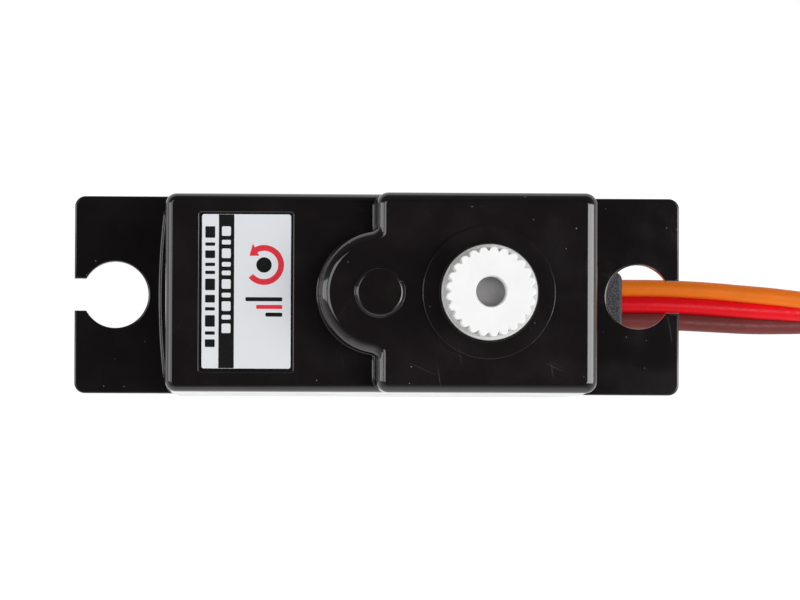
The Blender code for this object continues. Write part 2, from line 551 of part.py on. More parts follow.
def make_motor_stator(materials, motor):
    inner = CAN_RADIUS - CAN_WALL
    seat = BEARING_RADIUS + 0.03
    can = [
        (inner, CAN_LOW), (CAN_RADIUS, CAN_LOW), (CAN_RADIUS, CAN_HIGH - 0.4), (CAN_RADIUS - 0.4, CAN_HIGH),
        (CAN_NECK_RADIUS, CAN_HIGH), (CAN_NECK_RADIUS, CAN_NECK_TOP), (seat, CAN_NECK_TOP),
        (seat, CAN_HIGH - 0.5), (inner, CAN_HIGH - 0.5),
    ]
    add_piece("motor_can", turned(can), materials["can_steel"], motor)
    bearing = ring(MOTOR_SHAFT_BORE, BEARING_RADIUS, BEARING_LOW, BEARING_HIGH)
    add_piece("motor_bearing", bearing, materials["bronze"], motor)
    cap = [
        (0.0, END_CAP_LOW), (CAN_RADIUS - FIT, END_CAP_LOW), (CAN_RADIUS - FIT, CAN_LOW - FIT),
        (inner - 0.06, CAN_LOW - FIT), (inner - 0.06, END_CAP_HIGH), (0.0, END_CAP_HIGH),
    ]
    end_cap = add_piece("motor_end_cap", turned(cap), materials["moulded_grey"], motor)
    seat_top = END_CAP_HIGH + PAST
    cut(end_cap, "shaft_seat", cylinder(MOTOR_SHAFT_BORE, MOTOR_SHAFT_LOW - FIT, seat_top, steps=20))
    for number, side in enumerate((-1, 1), start=1):
        slot_x, slot_y = (-0.56, 0.56), sorted((side * (TERMINAL_Y[0] - 0.06), side * (TERMINAL_Y[1] + 0.06)))
        slot = block(slot_x, slot_y, (END_CAP_LOW - PAST, END_CAP_HIGH + 0.9 * PAST))
        cut(end_cap, f"terminal_slot_{number}", slot)
        terminal_y = sorted(side * y for y in TERMINAL_Y)
        terminal = block((-0.5, 0.5), terminal_y, (TERMINAL_LOW, TERMINAL_HIGH))
        add_piece(f"motor_terminal_{number}", terminal, materials["brass"], motor)
        brush_y = sorted(side * y for y in BRUSH_REACH)
        brush = block((-0.45, 0.45), brush_y, (BRUSH_LOW, BRUSH_HIGH))
        add_piece(f"motor_brush_{number}", brush, materials["carbon"], motor)
        outline = sector_outline(MAGNET_RADII, 90.0 + 90.0 * side, MAGNET_HALF_ANGLE, 10)
        magnet = prism(outline, MAGNET_LOW, MAGNET_HIGH)
        add_piece(f"motor_magnet_{number}", magnet, materials["ferrite"], motor)


def core_outline():
    """One lamination of the three-pole armature: a hub, a neck to each pole and a shoe at its end."""
    points = []
    shoe_half = math.radians(50.0)
    neck_half_at_hub = math.asin(CORE_NECK / CORE_HUB)
    neck_half_at_shoe = math.asin(CORE_NECK / CORE_SHOE)
    for pole in range(POLES):
        centre = 2 * math.pi * pole / POLES
        shoe_side = CORE_SHOE + 0.25
        shape = [(CORE_HUB, -neck_half_at_hub), (CORE_SHOE, -neck_half_at_shoe), (shoe_side, -shoe_half)]
        shape += [(CORE_RADIUS, shoe_half * (step / 5 - 1)) for step in range(11)]
        shape += [(shoe_side, shoe_half), (CORE_SHOE, neck_half_at_shoe), (CORE_HUB, neck_half_at_hub)]
        points += [(r * math.cos(centre + a), r * math.sin(centre + a)) for r, a in shape]
    return points


def make_motor_rotor(materials, motor):
    shaft = [(0.0, MOTOR_SHAFT_LOW), (MOTOR_SHAFT_RADIUS, MOTOR_SHAFT_LOW)]
    shaft += [(MOTOR_SHAFT_RADIUS, MOTOR_SHAFT_HIGH), (0.0, MOTOR_SHAFT_HIGH)]
    add_piece("motor_shaft", turned(shaft, 20), materials["steel"], motor)
    laminations = prism(core_outline(), CORE_LOW, CORE_HIGH)
    core = add_piece("motor_armature", laminations, materials["core_steel"], motor)
    cut(core, "shaft_bore", cylinder(MOTOR_SHAFT_BORE, CORE_LOW - PAST, CORE_HIGH + PAST, steps=20))
    for pole in range(POLES):
        coil_y, coil_z = (-COIL_HALF_WIDTH, COIL_HALF_WIDTH), (CORE_LOW - COIL_END, CORE_HIGH + COIL_END)
        outer = block(COIL_RADII, coil_y, coil_z)
        coil = add_piece(f"motor_winding_{pole + 1}", outer, materials["copper_wire"], motor)
        coil.rotation_euler = (0.0, 0.0, 2 * math.pi * pole / POLES)
        neck = CORE_NECK + FIT
        opening_x = (COIL_RADII[0] - PAST, COIL_RADII[1] + PAST)
        cut(coil, "pole_opening", block(opening_x, (-neck, neck), (CORE_LOW - FIT, CORE_HIGH + FIT)))
    bars = ring(MOTOR_SHAFT_BORE, COMMUTATOR_RADIUS, COMMUTATOR_LOW, COMMUTATOR_HIGH)
    commutator = add_piece("motor_commutator", bars, materials["copper"], motor)
    for gap in range(POLES):
        slot_z = (COMMUTATOR_LOW - PAST, COMMUTATOR_HIGH + PAST)
        slot = block((COMMUTATOR_RADIUS - 0.2, COMMUTATOR_RADIUS + PAST), (-0.08, 0.08), slot_z)
        turn_about_axis(slot, math.radians(60.0) + 2 * math.pi * gap / POLES)
        cut(commutator, f"bar_gap_{gap + 1}", slot)
    teeth = gear_outline(PINION_TEETH, MODULE_FINE, flank_points=3)
    pinion = add_piece("motor_pinion", prism(teeth, *LEVEL_1), materials["brass"], motor)
    cut(pinion, "shaft_bore", cylinder(MOTOR_SHAFT_BORE, LEVEL_1[0] - PAST, LEVEL_1[1] + PAST, steps=20))


def turn_about_axis(bm, angle):
    """Turn a bmesh about Z."""
    cos, sin = math.cos(angle), math.sin(angle)
    for vert in bm.verts:
        x, y = vert.co.x, vert.co.y
        vert.co.x, vert.co.y = x * cos - y * sin, x * sin + y * cos


def make_sensor(materials, output):
    inner = SENSOR_RADIUS - SENSOR_WALL
    hole = SENSOR_SHAFT_RADIUS + 0.06
    cup = [
        (inner, SENSOR_LOW), (SENSOR_RADIUS, SENSOR_LOW), (SENSOR_RADIUS, SENSOR_HIGH),
        (hole, SENSOR_HIGH), (hole, SENSOR_HIGH - 0.6), (inner, SENSOR_HIGH - 0.6),
    ]
    add_piece("sensor_housing", turned(cup), materials["moulded_grey"], output)
    track = ring(hole, TRACK_RADIUS, TRACK_LOW, TRACK_HIGH)
    add_piece("sensor_track", track, materials["resin"], output)
    shaft = [(0.0, SENSOR_SHAFT_LOW), (SENSOR_SHAFT_RADIUS, SENSOR_SHAFT_LOW)]
    shaft += [(SENSOR_SHAFT_RADIUS, SENSOR_SHAFT_HIGH), (0.0, SENSOR_SHAFT_HIGH)]
    spindle = add_piece("sensor_shaft", turned(shaft), materials["moulded_grey"], output)
    flat_z = (SENSOR_FLAT_LOW, SENSOR_SHAFT_HIGH + PAST)
    cut(spindle, "drive_flat", block((SENSOR_FLAT, 2.0), (-2.0, 2.0), flat_z))
    hub = ring(SENSOR_SHAFT_RADIUS + 0.03, WIPER_HUB_RADIUS, WIPER_LOW, WIPER_HIGH)
    wiper = add_piece("sensor_wiper", hub, materials["brass"], output)
    arm_x = (WIPER_HUB_RADIUS - SINK, WIPER_REACH)
    join(wiper, "arm", block(arm_x, (-0.45, 0.45), (WIPER_LOW + 0.1, WIPER_HIGH - 0.1)))
    contact_x, contact_z = (WIPER_REACH - 0.5, WIPER_REACH - 0.05), (TRACK_HIGH + FIT, WIPER_LOW + SINK)
    join(wiper, "contact", block(contact_x, (-0.3, 0.3), contact_z))


def wire(name, points, radius, material, sides=2):
    """A round wire along a polyline through the given points, in millimetres."""
    curve = bpy.data.curves.new(name, "CURVE")
    curve.dimensions = "3D"
    curve.bevel_depth = radius * MM
    curve.bevel_resolution = sides
    curve.use_fill_caps = True
    spline = curve.splines.new("POLY")
    spline.points.add(len(points) - 1)
    for point, place in zip(spline.points, points):
        point.co = (place[0] * MM, place[1] * MM, place[2] * MM, 1.0)
    obj = bpy.data.objects.new(name, curve)
    own = material.copy()
    own.name = f"{name}_{material.name}"
    curve.materials.append(own)
    bpy.context.scene.collection.objects.link(obj)
    return obj


def smooth_route(points, spacing):
    """Points at an even spacing on a Catmull-Rom curve through the route's own points."""
    places = [Vector(p) for p in points]
    ends = [2 * places[0] - places[1], *places, 2 * places[-1] - places[-2]]
    dense = []
    for a, b, c, d in zip(ends, ends[1:], ends[2:], ends[3:]):
        slope, bend, twist = c - a, 2 * a - 5 * b + 4 * c - d, 3 * b - a - 3 * c + d
        for step in range(20):
            t = step / 20
            dense.append(0.5 * (2 * b + slope * t + bend * t**2 + twist * t**3))
    dense.append(places[-1])
    length = sum((q - p).length for p, q in zip(dense, dense[1:]))
    count = max(2, round(length / spacing))
    even, travelled, target = [dense[0]], 0.0, length / count
    for p, q in zip(dense, dense[1:]):
        travelled += (q - p).length
        if travelled >= target * len(even) - 1e-6 and len(even) < count:
            even.append(q)
    return even + [dense[-1]]


def board_outline():
    """The circuit board: a rectangle notched at each corner round the screw columns."""
    notch_x, notch_y = SCREW_X - HEAD_COLUMN_RADIUS - 0.15, SCREW_Y - HEAD_COLUMN_RADIUS - 0.15
    quarter = [(BOARD_X, notch_y), (notch_x, notch_y), (notch_x, BOARD_Y)]
    return (
        quarter
        + [(-x, y) for x, y in reversed(quarter)]
        + [(-x, -y) for x, y in quarter]
        + [(x, -y) for x, y in reversed(quarter)]
    )


def make_chip(name, centre, size, legs, material):
    """A moulded chip with its legs in two rows, standing on the board."""
    (x, y), (length, width, height) = centre, size
    low = BOARD_HIGH + 0.15
    body = block((x - length / 2, x + length / 2), (y - width / 2, y + width / 2), (low, low + height))
    chip = add_piece(name, round_edges(body, low + height, 0.12, 1), material)
    pitch = length / legs
    for leg in range(legs):
        leg_x = x - length / 2 + pitch * (leg + 0.5)
        half = width / 2 + 0.7
        leg_z = (BOARD_HIGH + SOLDER_GAP, low + 0.25)
        join(chip, f"leg_{leg + 1}", block((leg_x - 0.2, leg_x + 0.2), (y - half, y + half), leg_z))


def make_electronics(materials):
    plate = prism(board_outline(), BOARD_LOW, BOARD_HIGH)
    board = add_piece("circuit_board", plate, materials["circuit_board"])
    for number, side in enumerate((-1, 1), start=1):
        slot_y = sorted((side * (TERMINAL_Y[0] - 0.1), side * (TERMINAL_Y[1] + 0.1)))
        slot_x, slot_z = (MOTOR_X - 0.6, MOTOR_X + 0.6), (BOARD_LOW - PAST, BOARD_HIGH + PAST)
        cut(board, f"terminal_slot_{number}", block(slot_x, slot_y, slot_z))
    make_chip("control_ic", (4.4, -0.6), (5.2, 3.8, 1.3), 7, materials["chip_black"])
    make_chip("motor_driver_ic", (4.4, 3.9), (3.0, 1.0, 0.9), 3, materials["chip_black"])
    low = BOARD_HIGH + SOLDER_GAP
    capacitor = cylinder(1.25, low, low + 3.4, (8.4, 3.0))
    add_piece("filter_capacitor", round_edges(capacitor, low + 3.4, 0.2, 2), materials["capacitor_can"])
    resonator = prism(rounded_rectangle((7.6, 9.6), (-4.7, -3.5), 0.4, 2), low, low + 1.8)
    add_piece("resonator", round_edges(resonator, low + 1.8, 0.15, 1), materials["resin"])
    for number, y in enumerate((-1.0, 0.0, 1.0), start=1):
        route = [(10.6, y, SENSOR_LOW - FIT), (10.7, y, 11.4), (10.9, 1.3 * y, 8.5), (10.7, 1.6 * y, 6.6)]
        if y > 0.0:
            route += [(11.5, 2.6 * y, 6.3), (11.6, 2.7 * y, 5.0), (11.6, 2.8 * y, 3.6), (11.6, 2.8 * y, low)]
        else:
            route += [(9.9, 2.0 * y, 6.1), (8.9, 2.2 * y, 5.2), (8.5, 2.3 * y, 3.6), (8.5, 2.3 * y, low)]
        wire(f"sensor_wire_{number}", smooth_route(route, 1.2), 0.25, materials["lead_red"], 1)


def make_strain_relief(material):
    half = RELIEF_HALF_WIDTH
    outline = rounded_rectangle((RELIEF_START, RELIEF_END), (-half, half), 0.8)
    body = round_edges(prism(outline, RELIEF_LOW, RELIEF_HIGH), RELIEF_HIGH, 0.25, 2)
    relief = add_piece("strain_relief", round_edges(body, RELIEF_LOW, 0.25, 2), material)
    flange_y, flange_z = (-RELIEF_FLANGE_HALF, RELIEF_FLANGE_HALF), (RELIEF_LOW - 0.6, RELIEF_HIGH + 0.5)
    join(relief, "inner_flange", block(RELIEF_FLANGE_X, flange_y, flange_z))


def make_lead(materials):
    colours = ("lead_brown", "lead_red", "lead_orange")
    for name, side, colour in zip(("ground", "power", "signal"), (-1, 0, 1), colours):
        y = side * WIRE_PITCH
        route = [(11.85, y, 4.7), (11.3, y, 4.6), (10.7, y, 4.1), (10.4, y, 3.2)]
        route.append((10.4, y, BOARD_HIGH + SOLDER_GAP))
        wire(f"{name}_wire_end", smooth_route(route, 0.7), 0.4, materials[colour], 1)
    wire("lead_cable", smooth_route(LEAD_ROUTE, 2.5), LEAD_WIDTH / 2, materials["lead_red"])
    wire("lead_tail", smooth_route(TAIL_ROUTE, 2.0), LEAD_WIDTH / 2, materials["lead_red"])
    coil_axis = axis_empty("coil_axis", COIL_CENTRE[0])
    coil_axis.location.y = COIL_CENTRE[1] * MM
    coil = ring(*COIL_RING_RADII, COIL_LOW, COIL_HIGH, 48)
    add_piece("lead_coil", coil, materials["lead_red"], coil_axis)
    make_tie(materials["chip_black"], coil_axis)


def make_tie(material, coil_axis):
    """A flat tie round the coil's turns."""
    inner, outer = COIL_RING_RADII[0] - TIE_PLAY, COIL_RING_RADII[1] + TIE_PLAY
    half, thick = TIE_WIDTH / 2, TIE_THICKNESS
    top = COIL_HIGH + TIE_PLAY
    band = block((inner - thick, outer + thick), (-half, half), (0.0, top + thick))
    tie = add_piece("lead_tie", band, material, coil_axis)
    tie.rotation_euler = (0.0, 0.0, math.radians(TIE_ANGLE))
    cut(tie, "opening", block((inner, outer), (-2 * half, 2 * half), (COIL_LOW - TIE_PLAY, top)))


def make_connector(materials):
    """The connector, which lies inside the coil with its back to the tail's last point."""
    end, before = Vector(TAIL_ROUTE[-1]), Vector(TAIL_ROUTE[-2])
    heading = math.atan2(end.y - before.y, end.x - before.x)
    axis = bpy.data.objects.new("connector_axis", None)
    axis.location = (end.x * MM, end.y * MM, 0.0)
    axis.rotation_euler = (0.0, 0.0, heading)
    bpy.context.scene.collection.objects.link(axis)
    back, front = 0.1, 0.1 + CONNECTOR_LENGTH
    half_width, middle = CONNECTOR_WIDTH / 2, CONNECTOR_HEIGHT / 2
    outline = rounded_rectangle((back, front), (-half_width, half_width), 0.25, 2)
    shell = round_edges(prism(outline, 0.0, CONNECTOR_HEIGHT), CONNECTOR_HEIGHT, 0.15, 1)
    housing = add_piece("connector_housing", shell, materials["connector_black"], axis)
    contact_back, contact_front = front - 1.0 - CONTACT_LENGTH, front - 1.0
    for number, side in enumerate((-1, 0, 1), start=1):
        y = side * CONTACT_PITCH
        cavity_y = (y - CAVITY_WIDTH / 2, y + CAVITY_WIDTH / 2)
        cavity_z = (middle - CAVITY_HEIGHT / 2, middle + CAVITY_HEIGHT / 2)
        cut(housing, f"cavity_{number}", block((back - PAST, contact_front + 0.1), cavity_y, cavity_z))
        half = SOCKET_SIDE / 2
        mouth_y, mouth_z = (y - half, y + half), (middle - half, middle + half)
        cut(housing, f"mouth_{number}", block((contact_front - PAST, front + PAST), mouth_y, mouth_z))
        contact_y = (cavity_y[0] + 0.1, cavity_y[1] - 0.1)
        contact_z = (cavity_z[0] + 0.1, cavity_z[1] - 0.1)
        body = block((contact_back, contact_front), contact_y, contact_z)
        contact = add_piece(f"connector_contact_{number}", body, materials["brass"], axis)
        socket = block((contact_back + 2.0, front), (y - 0.35, y + 0.35), (middle - 0.35, middle + 0.35))
        cut(contact, "pin_socket", socket)


def main():
    clear_scene()
    materials = make_materials()
    motor = axis_empty("motor_axis", MOTOR_X)
    idler = axis_empty("idler_axis", IDLER_X)
    output = axis_empty("output_axis", OUTPUT_X)
    make_top_cover(materials["black_case"])
    make_middle_case(materials["black_case"])
    make_bottom_cover(materials["black_case"])
    make_case_screws(materials["steel"])
    make_label(materials["label_paper"])
    make_gear_train(materials, idler, output)
    make_output(materials, output)
    make_motor_stator(materials, motor)
    make_motor_rotor(materials, motor)
    make_sensor(materials, output)
    make_electronics(materials)
    make_strain_relief(materials["rubber_grey"])
    make_lead(materials)
    make_connector(materials)


main()
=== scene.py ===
"""Looks of the mini servo motor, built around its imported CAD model.

Every shape is drawn in millimetres and scaled once, when its piece is made. The pieces that show are finer
versions of the CAD solids, with rounded rims, a printed label and three separate wires. Their dimensions are
the CAD's, except that some rims, slopes and walls differ by tenths of a millimetre. The mechanism inside the
case keeps its CAD solids, with better materials.
"""

import json
import math

import bmesh
import bpy
import numpy as np
from mathutils import Matrix, Vector


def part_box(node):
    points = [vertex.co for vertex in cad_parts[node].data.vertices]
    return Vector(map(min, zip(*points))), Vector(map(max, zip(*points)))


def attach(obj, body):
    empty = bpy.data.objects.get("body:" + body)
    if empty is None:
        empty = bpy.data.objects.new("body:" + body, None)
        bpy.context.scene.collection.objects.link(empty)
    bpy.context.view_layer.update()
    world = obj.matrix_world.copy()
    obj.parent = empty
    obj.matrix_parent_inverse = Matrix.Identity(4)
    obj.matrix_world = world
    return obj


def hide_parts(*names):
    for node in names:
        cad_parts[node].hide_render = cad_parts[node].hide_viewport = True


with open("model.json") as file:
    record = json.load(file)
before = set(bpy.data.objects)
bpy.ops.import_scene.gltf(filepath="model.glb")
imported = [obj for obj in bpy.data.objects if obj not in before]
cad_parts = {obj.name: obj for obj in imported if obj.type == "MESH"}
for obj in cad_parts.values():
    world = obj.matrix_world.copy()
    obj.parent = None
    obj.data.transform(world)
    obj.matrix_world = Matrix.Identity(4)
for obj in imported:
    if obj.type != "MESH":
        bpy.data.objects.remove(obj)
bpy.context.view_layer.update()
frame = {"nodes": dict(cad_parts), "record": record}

MM = 0.001

# Case, in millimetres.
CASE_LENGTH, CASE_WIDTH, CASE_CORNER = 28.0, 13.2, 0.7
COVER_LENGTH, COVER_WIDTH = 27.9, 12.92
BOTTOM_SPLIT, TOP_SPLIT, SEAM = 5.0, 20.6, 0.05
DECK_LOW, DECK_HIGH = 18.0, 19.2
WALL, CEILING, FLOOR_THICKNESS = 1.0, 1.1, 1.0
LOW_TOP, HUMP_TOP = 27.15, 29.6
HUMP_LEFT, HUMP_RIGHT, HUMP_HALF_WIDTH, HUMP_CORNER = -0.26, 14.03, 6.48, 0.78
TOP_FILLET, LOBE_FILLET = 0.68, 0.85
TAB_LENGTH, TAB_WIDTH, TAB_LOW, TAB_HIGH = 40.2, 13.1, 18.0, 19.8
TAB_HOLE_X, TAB_HOLE_RADII, TAB_SLOT_HALF = 17.4, {-1: 2.2, 1: 2.14}, 1.06
OUTPUT_X, IDLER_X, MOTOR_X = 7.0, -0.05, -6.05
LOBE_RADIUS, LOBE_TOP, LOBE_BLEND = 4.0, 29.596, 0.5
AXLE_BOSS_RADIUS, AXLE_BOSS_TOP = 1.6, 29.87
RING_BOSS_RADIUS, RING_BOSS_TOP = 4.28, 29.85
RING_HOLE_RADIUS, BUSH_RADIUS, BUSH_TOP, SHAFT_HOLE_RADIUS = 3.17, 3.79, 29.2, 1.08
DECK_BOSS_RADIUS, DECK_BOSS_TOP, MOTOR_HOLE_RADIUS = 1.7, 21.0, 2.3
AXLE_HOLE_RADIUS, AXLE_SOCKET_RADIUS = 0.78, 0.79
SCREW_X, SCREW_Y, SCREW_HOLE, SCREW_TOP, HEAD_DEPTH = 12.3, 4.9, 0.82, 25.0, 1.3
POST_RADIUS, LOW_POST_RADIUS = 1.3, 1.65
STOP_LOW, STOP_RADII, STOP_HALF_ANGLE = 27.75, (4.0, 5.2), 15.0
RECESS_X, RECESS_Y, RECESS_DEPTH = (-11.76, -5.65), (-5.19, 5.21), 0.15
RELIEF_HALF_WIDTH, RELIEF_LOW, RELIEF_HIGH, RELIEF_END = 2.1, 3.1, 6.3, 17.28
RELIEF_SLOT_X, RELIEF_PLAY = (12.2, 15.0), 0.05
PAD_HALF_WIDTH, PAD_EDGE, PAD_CROWN, PAD_STEP = 5.5, 0.2, 0.32, 0.14
PAST = 1.0  # how far a cutting shape reaches past the surface that it opens
SUNK = 0.5  # how far below a surface a raised shape starts
OVERLAP = 0.3  # how far a small shape reaches into the wall that it joins

# Output gear.
JOURNAL_RADIUS, COLLAR_TOP = 3.1, 30.7
SPLINE_TEETH, SPLINE_TIP, SPLINE_ROOT, SPLINE_TOP = 25, 2.89, 2.62, 32.8
HORN_HOLE_RADIUS, HORN_HOLE_FLOOR = 0.96, 31.2
GEAR_MODULE, GEAR_TEETH, GEAR_LOW, GEAR_HIGH = 0.3, 34, 24.9, 27.6
LUG_RADII, LUG_TOP = (4.0, 4.7), 28.2

# Lead. The routes are the CAD's, with the first stretch moved sideways by up to 0.16 mm.
LEAD_ROUTE = (
    (17.85, -0.15, 4.7), (20.0, -0.16, 4.68), (23.0, -0.28, 4.45), (26.0, -0.46, 4.0), (29.0, -0.6, 3.5),
    (32.0, -0.78, 3.0), (35.0, -1.3, 2.55), (38.0, -3.1, 2.2), (40.0, -4.8, 2.0), (42.2, -6.2, 1.9),
    (44.9, -7.1, 1.9),
)
TAIL_ROUTE = (
    (62.05, 9.1, 1.8), (61.2, 10.55, 1.8), (60.0, 11.8, 1.8), (58.6, 12.7, 1.8), (57.0, 13.3, 1.8),
)
COIL_CENTRE, COIL_RADII, COIL_LOW, COIL_HIGH = (51.5, 11.15), (13.1, 17.3), 0.4, 4.0
RUN_IN, LAST_ARC_RADIUS = 50.0, 7.6  # degrees in which the lead settles into the coil; arc that leaves it
LEAD_WIDTH, LEAD_LENGTH, WIRE_PITCH, WIRE_RADIUS = 3.6, 250.0, 1.14, 0.6
TIE_ANGLE, TIE_WIDTH = 60.0, 2.4
CONNECTOR_LENGTH, CONNECTOR_WIDTH, CONNECTOR_HEIGHT, CONTACT_PITCH = 14.0, 7.6, 2.6, 2.54

SHARP_ANGLE = 32.0
Z_TO_X = Matrix(((0, 0, 1, 0), (1, 0, 0, 0), (0, 1, 0, 0), (0, 0, 0, 1)))  # lays a prism's height along X
WHITE = (1.0, 1.0, 1.0, 1.0)

# Softboxes: name, angle from straight up, compass angle from +X, distance, size across and up, power.
SOFTBOXES = (
    ("right_box", 44.5, -4.0, 0.6, (0.24, 0.81), 3.55),
    ("left_low_box", 60.0, 176.0, 0.5, (0.16, 0.38), 0.53),
    ("left_high_box", 23.0, 168.0, 0.5, (0.24, 0.17), 0.36),
    ("front_box", 72.0, 262.0, 0.6, (0.5, 0.35), 0.2),
)


# ---------------------------------------------------------------- outlines and solids


def on_circle(centre, radius, degrees):
    angle = np.radians(degrees)
    return centre[0] + radius * math.cos(angle), centre[1] + radius * math.sin(angle)


def arc(centre, radius, start, end, steps=16):
    """Points on an arc between two angles in degrees."""
    return [on_circle(centre, radius, degrees) for degrees in np.linspace(start, end, steps + 1)]


def circle(radius, at=(0.0, 0.0), steps=96):
    return arc(at, radius, 0.0, 360.0, steps)[:-1]


def rounded_rectangle(x_range, y_range, radius, steps=12):
    (x0, x1), (y0, y1), r = x_range, y_range, radius
    return (
        arc((x1 - r, y1 - r), r, 0, 90, steps)
        + arc((x0 + r, y1 - r), r, 90, 180, steps)
        + arc((x0 + r, y0 + r), r, 180, 270, steps)
        + arc((x1 - r, y0 + r), r, 270, 360, steps)
    )


def centred_rectangle(length, width, radius, steps=12):
    return rounded_rectangle((-length / 2, length / 2), (-width / 2, width / 2), radius, steps)


def refined(outline, spacing):
    """The outline with its long edges divided, so that no two points are further apart than the spacing."""
    points = []
    for (x0, y0), (x1, y1) in zip(outline, outline[1:] + outline[:1]):
        pieces = max(1, math.ceil(math.dist((x0, y0), (x1, y1)) / spacing))
        points += [(x0 + (x1 - x0) * k / pieces, y0 + (y1 - y0) * k / pieces) for k in range(pieces)]
    return points


def moved_inward(outline, inset):
    """A counter-clockwise outline moved inward, with mitred corners. Each point may have its own inset."""
    points = np.array(outline, float)
    edges = np.roll(points, -1, axis=0) - points
    edges /= np.linalg.norm(edges, axis=1)[:, None]
    after = np.stack([-edges[:, 1], edges[:, 0]], axis=1)
    before = np.roll(after, 1, axis=0)
    mitre = (after + before) / (1.0 + (after * before).sum(axis=1))[:, None]
    return points + mitre * np.reshape(inset, (-1, 1))


def stack(outline, profile):
    """A closed solid from an outline and a profile of (inset, height), from the bottom up."""
    bm = bmesh.new()
    rings = []
    for inset, height in profile:
        rings.append([bm.verts.new((x, y, height)) for x, y in moved_inward(outline, inset)])
    for low, high in zip(rings, rings[1:]):
        for a, b, c, d in zip(low, low[1:] + low[:1], high[1:] + high[:1], high):
            bm.faces.new((a, b, c, d))
    bm.faces.new(reversed(rings[0]))
    bm.faces.new(rings[-1])
    return bm


def prism(outline, low, high):
    return stack(outline, [(0.0, low), (0.0, high)])


def block(x_range, y_range, z_range):
    (x0, x1), (y0, y1) = x_range, y_range
    return prism([(x0, y0), (x1, y0), (x1, y1), (x0, y1)], *z_range)


def cylinder(radius, low, high, at=(0.0, 0.0), steps=96):
    return prism(circle(radius, at, steps), low, high)


def rim(top, radius, steps=8):
    """Profile of a rounded upper rim, from the wall to the top."""
    angles = np.linspace(0.0, math.pi / 2, steps + 1)
    return [(radius * (1 - math.cos(a)), top - radius + radius * math.sin(a)) for a in angles]


def lower_rim(low, radius, steps=6):
    """Profile of a rounded lower rim, from the underside to the wall."""
    return [(inset, 2 * low - height) for inset, height in reversed(rim(low, radius, steps))]


def foot(low, radius, steps=5):
    """Profile of a concave fillet where a wall rises from a surface at a height."""
    angles = np.radians(np.linspace(12.0, 90.0, steps + 1))
    return [(radius * (math.sin(a) - 1.0), low + radius * (1.0 - math.cos(a))) for a in angles]


def turned(profile, steps=64):
    """Spin a closed profile of (radius, height) points round Z."""
    bm = bmesh.new()
    rings = []
    for radius, height in profile:
        if radius < 1e-6:
            rings.append([bm.verts.new((0.0, 0.0, height))] * steps)
        else:
            rings.append([bm.verts.new((x, y, height)) for x, y in circle(radius, steps=steps)])
    on_axis = profile[0][0] < 1e-6
    for low, high in zip(rings, rings[1:] if on_axis else rings[1:] + rings[:1]):
        for quad in zip(low, low[1:] + low[:1], high[1:] + high[:1], high):
            corners = list(dict.fromkeys(quad))
            if len(corners) > 2:
                bm.faces.new(corners)
    bmesh.ops.recalc_face_normals(bm, faces=bm.faces)
    return bm


def together(*parts):
    """Several meshes in one."""
    whole = bmesh.new()
    for part in parts:
        mesh = bpy.data.meshes.new("part")
        part.to_mesh(mesh)
        part.free()
        whole.from_mesh(mesh)
        bpy.data.meshes.remove(mesh)
    return whole


def placed(bm, at=(0.0, 0.0, 0.0), turn=0.0):
    """The mesh turned about Z by an angle in degrees, then moved."""
    bmesh.ops.transform(
        bm, matrix=Matrix.Translation(at) @ Matrix.Rotation(math.radians(turn), 4, "Z"), verts=bm.verts
    )
    return bm


def helper_object(bm):
    mesh = bpy.data.meshes.new("helper")
    bm.to_mesh(mesh)
    bm.free()
    obj = bpy.data.objects.new("helper", mesh)
    bpy.context.scene.collection.objects.link(obj)
    return obj


def combine(base, operation, tools):
    """The base with each tool joined to it, or cut from it."""
    target = helper_object(base)
    helpers = [helper_object(tool) for tool in tools]
    for helper in helpers:
        modifier = target.modifiers.new(operation, "BOOLEAN")
        modifier.operation = operation
        modifier.solver = "EXACT"
        modifier.object = helper
    evaluated = target.evaluated_get(bpy.context.evaluated_depsgraph_get())
    result = bmesh.new()
    result.from_mesh(evaluated.to_mesh())
    evaluated.to_mesh_clear()
    for obj in [target, *helpers]:
        mesh = obj.data
        bpy.data.objects.remove(obj)
        bpy.data.meshes.remove(mesh)
    return result


def join(base, *tools):
    return combine(base, "UNION", tools)


def cut(base, *tools):
    return combine(base, "DIFFERENCE", tools)


def add_piece(name, bm, materials, body, stands_for):
    """A finished piece: scaled to metres, smooth except at its sharp edges, riding on its body."""
    bmesh.ops.remove_doubles(bm, verts=bm.verts, dist=1e-4)
    bmesh.ops.scale(bm, vec=(MM, MM, MM), verts=bm.verts)
    mesh = bpy.data.meshes.new(name)
    bm.to_mesh(mesh)
    bm.free()
    for material in materials:
        mesh.materials.append(material)
    mesh.shade_smooth()
    mesh.set_sharp_from_angle(angle=math.radians(SHARP_ANGLE))
    obj = bpy.data.objects.new(name, mesh)
    bpy.context.scene.collection.objects.link(obj)
    weighted = obj.modifiers.new("even_shading", "WEIGHTED_NORMAL")
    weighted.keep_sharp = True
    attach(obj, body)
    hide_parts(*stands_for)
    return obj


# ---------------------------------------------------------------- materials


def add_node(tree, kind, inputs=None, **settings):
    """A shader node. Inputs are given by name or index, as values or as sockets to link."""
    node = tree.nodes.new(kind)
    for key, value in settings.items():
        setattr(node, key, value)
    for key, value in (inputs or {}).items():
        if isinstance(value, bpy.types.NodeSocket):
            tree.links.new(value, node.inputs[key])
        else:
            node.inputs[key].default_value = value
    return node


def object_coordinates(tree, stretch=(1.0, 1.0, 1.0), turn=0.0):
    """Coordinates fixed to the piece, in millimetres, optionally stretched and turned about Z."""
    place = add_node(tree, "ShaderNodeTexCoord").outputs["Object"]
    rotation = (0.0, 0.0, math.radians(turn))
    turned_place = add_node(tree, "ShaderNodeMapping", {"Vector": place, "Rotation": rotation}).outputs[0]
    inputs = {0: turned_place, 1: [s / MM for s in stretch]}
    return add_node(tree, "ShaderNodeVectorMath", inputs, operation="MULTIPLY").outputs[0]


